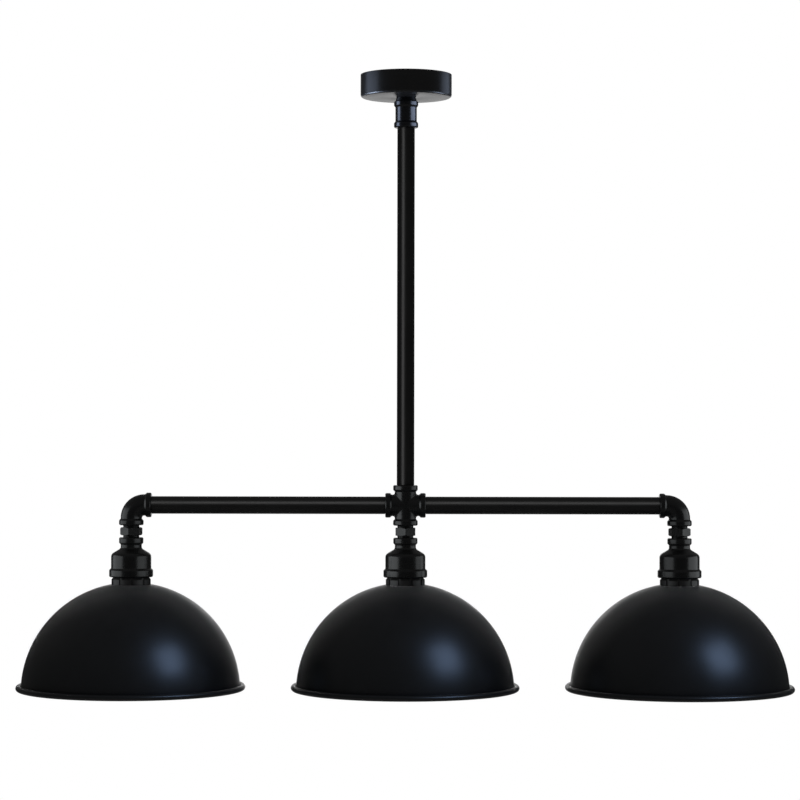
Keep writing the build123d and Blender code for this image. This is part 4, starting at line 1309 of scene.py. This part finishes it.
class PIPELIGHT_OT_stage(bpy.types.Operator):
    """Set up the camera, the white surroundings and the soft lights."""

    bl_idname = "pipe_light.stage"
    bl_label = "Stage"
    bl_options = {"REGISTER", "UNDO"}

    def emptied(self, owner):
        """Graph of a world's or a material's own nodes, without any."""
        owner.use_nodes = True
        owner.node_tree.nodes.clear()
        return Graph(owner.node_tree)

    def seen(self, graph, path):
        """1 for what the camera, a reflection or a clear material sees."""
        shown = graph.math("MAXIMUM", path["Is Camera Ray"], path["Is Glossy Ray"])
        return graph.math("MAXIMUM", shown, path["Is Transmission Ray"])

    def surround(self, stage):
        """White all round for the camera, a dim studio in reflections, an even light elsewhere."""
        # Upward part of a direction from which a reflection sees the space overhead
        overhead = 0.5
        world = bpy.data.worlds.new("studio")
        graph = self.emptied(world)
        path = graph.add("ShaderNodeLightPath").outputs
        place = graph.add("ShaderNodeTexCoord")
        way = graph.add("ShaderNodeSeparateXYZ", {0: place.outputs["Generated"]})
        dim = graph.spread(way.outputs["Z"], 0.0, overhead, stage.mirrored_low, stage.mirrored_high)
        level = graph.math("MAXIMUM", dim, path["Is Camera Ray"])
        studio = graph.add("ShaderNodeBackground", {"Color": level})
        even = graph.add("ShaderNodeBackground", {"Color": opaque(WHITE), "Strength": stage.ambient})
        both = graph.mix_shaders(self.seen(graph, path), even, studio)
        out = graph.add("ShaderNodeOutputWorld", {"Surface": both.outputs[0]})
        out.is_active_output = True
        bpy.context.scene.world = world

    def floor(self, stage):
        """Pale floor with a soft shadow that fades into the white around it.

        It is dim in reflections and clear from below.
        """
        material = bpy.data.materials.new("pale_floor")
        graph = self.emptied(material)
        path = graph.add("ShaderNodeLightPath").outputs
        place = graph.add("ShaderNodeTexCoord")
        away = graph.add("ShaderNodeVectorMath", {0: place.outputs["Object"]}, operation="LENGTH")
        fade = graph.spread(away.outputs["Value"], stage.floor_fade, stage.floor_fade_end,
                            stage.floor_glow, 1.0)
        matt = graph.add("ShaderNodeBsdfDiffuse", {"Color": opaque(WHITE, 0.3)})
        glow = graph.add("ShaderNodeEmission", {"Color": opaque(WHITE), "Strength": fade})
        lifted = graph.add("ShaderNodeAddShader", {0: matt.outputs[0], 1: glow.outputs[0]})
        both = graph.mix_shaders(path["Is Glossy Ray"], lifted, matt)
        surface = graph.add("ShaderNodeNewGeometry")
        clear = graph.add("ShaderNodeBsdfTransparent")
        one_sided = graph.mix_shaders(surface.outputs["Backfacing"], both, clear)
        graph.add("ShaderNodeOutputMaterial", {"Surface": one_sided.outputs[0]})
        self.sheet("floor", material, stage.floor_reach, lambda x, y: (x, y, stage.floor_level))

    def backdrop(self, stage):
        """White sheet behind the light, no larger than the picture needs, so that black edges stay black."""
        material = bpy.data.materials.new("white_backdrop")
        graph = self.emptied(material)
        path = graph.add("ShaderNodeLightPath").outputs
        matt = graph.add("ShaderNodeBsdfDiffuse", {"Color": opaque(WHITE, 0.8)})
        glow = graph.add("ShaderNodeEmission", {"Color": opaque(WHITE), "Strength": 1.0})
        both = graph.mix_shaders(self.seen(graph, path), matt, glow)
        graph.add("ShaderNodeOutputMaterial", {"Surface": both.outputs[0]})
        middle = stage.camera_height + stage.backdrop_rise
        self.sheet("backdrop", material, stage.backdrop_reach,
                   lambda x, z: (x, stage.backdrop_distance, middle + z))

    def sheet(self, name, material, reach, place):
        """Flat square stage sheet, put in its plane by a function of two coordinates."""
        corners = [(-reach, -reach), (reach, -reach), (reach, reach), (-reach, reach)]
        mesh = mesh_of([place(*corner) for corner in corners], [(0, 1, 2, 3)])
        mesh.materials.append(material)
        obj = new_object(name, mesh)

    def softbox(self, light, receivers):
        """Rectangular soft light that looks at the pieces it lights."""
        data = bpy.data.lights.new(light.name, "AREA")
        data.shape = "RECTANGLE"
        data.size, data.size_y = light.size
        data.energy = light.power
        data.color = light.tint
        # Sampled from the light's side, so that the rings on the shades don't hide it from them
        data.cycles.use_multiple_importance_sampling = light.receivers != "shades"
        round_z = radians(light.azimuth)
        lift = radians(light.elevation)
        way = Vector((sin(round_z) * cos(lift), -cos(round_z) * cos(lift), sin(lift)))
        lamp = new_object(light.name, data)
        lamp.location = Vector((0, 0, light.level)) + way * light.distance
        lamp.rotation_euler = (-way).to_track_quat("-Z", "Y").to_euler()
        lamp.visible_camera = False
        lamp.light_linking.receiver_collection = receivers
        lamp.light_linking.blocker_collection = receivers

    def lit_by_itself(self, name, words):
        """Collection of the pieces whose names hold one of some words."""
        group = bpy.data.collections.new(name)
        for obj in bpy.context.scene.objects:
            if obj.type == "MESH" and any(word in obj.name for word in words):
                group.objects.link(obj)
        return group

    def camera(self, stage):
        """Camera at the photograph's viewing angle."""
        data = bpy.data.cameras.new("camera")
        data.lens = stage.lens
        data.sensor_width = 36.0
        data.sensor_fit = "HORIZONTAL"
        camera = new_object("camera", data)
        looking = Euler((pi / 2 + stage.camera_tilt, 0, 0)).to_matrix().to_4x4()
        roll = Matrix.Rotation(stage.camera_roll, 4, "Z")
        place = Matrix.Translation((stage.camera_aside, -stage.camera_distance, stage.camera_height))
        camera.matrix_world = place @ looking @ roll
        bpy.context.scene.camera = camera

    def execute(self, context):
        """Build the stage round the light."""
        stage = context.scene.pipe_light_stage
        self.surround(stage)
        self.floor(stage)
        self.backdrop(stage)
        self.camera(stage)
        groups = {name: self.lit_by_itself(name, words) for name, words in LIT_TOGETHER.items()}
        for light in LIGHTS:
            self.softbox(light, groups[light.receivers])
        context.scene.view_settings.view_transform = "Standard"
        return {"FINISHED"}


class PIPELIGHT_PT_panel(bpy.types.Panel):
    """Sidebar list of the light's pieces and sizes."""

    bl_idname = "PIPELIGHT_PT_panel"
    bl_label = "Pipe Light"
    bl_space_type = "VIEW_3D"
    bl_region_type = "UI"
    bl_category = "Pipe Light"

    def draw(self, context):
        """List the operators, then the values that they use."""
        column = self.layout.column(align=True)
        for operator in OPERATORS:
            column.operator(operator.bl_idname)
        for name, group in GROUPS:
            section = self.layout.box()
            for prop in group.__annotations__:
                section.prop(getattr(context.scene, name), prop)


OPERATORS = (
    PIPELIGHT_OT_hardware,
    PIPELIGHT_OT_canopy,
    PIPELIGHT_OT_pipes,
    PIPELIGHT_OT_fittings,
    PIPELIGHT_OT_nipples,
    PIPELIGHT_OT_reducers,
    PIPELIGHT_OT_shade_rings,
    PIPELIGHT_OT_shades,
    PIPELIGHT_OT_lampholders,
    PIPELIGHT_OT_lamps,
    PIPELIGHT_OT_flexes,
    PIPELIGHT_OT_stage,
)
GROUPS = (
    ("pipe_light_sizes", PipeLightSizes),
    ("pipe_light_finish", PipeLightFinish),
    ("pipe_light_stage", PipeLightStage),
)


def register():
    """Register the classes and hang the values on the scene."""
    for name, group in GROUPS:
        bpy.utils.register_class(group)
        setattr(bpy.types.Scene, name, PointerProperty(type=group))
    for cls in (*OPERATORS, PIPELIGHT_PT_panel):
        bpy.utils.register_class(cls)


def unregister():
    """Take the classes and the values away again."""
    for cls in (PIPELIGHT_PT_panel, *reversed(OPERATORS)):
        bpy.utils.unregister_class(cls)
    for name, group in reversed(GROUPS):
        delattr(bpy.types.Scene, name)
        bpy.utils.unregister_class(group)


def main():
    """Build the light and its stage."""
    register()
    for operator in OPERATORS:
        family, name = operator.bl_idname.split(".")
        getattr(getattr(bpy.ops, family), name)()


if __name__ == "__main__":
    main()
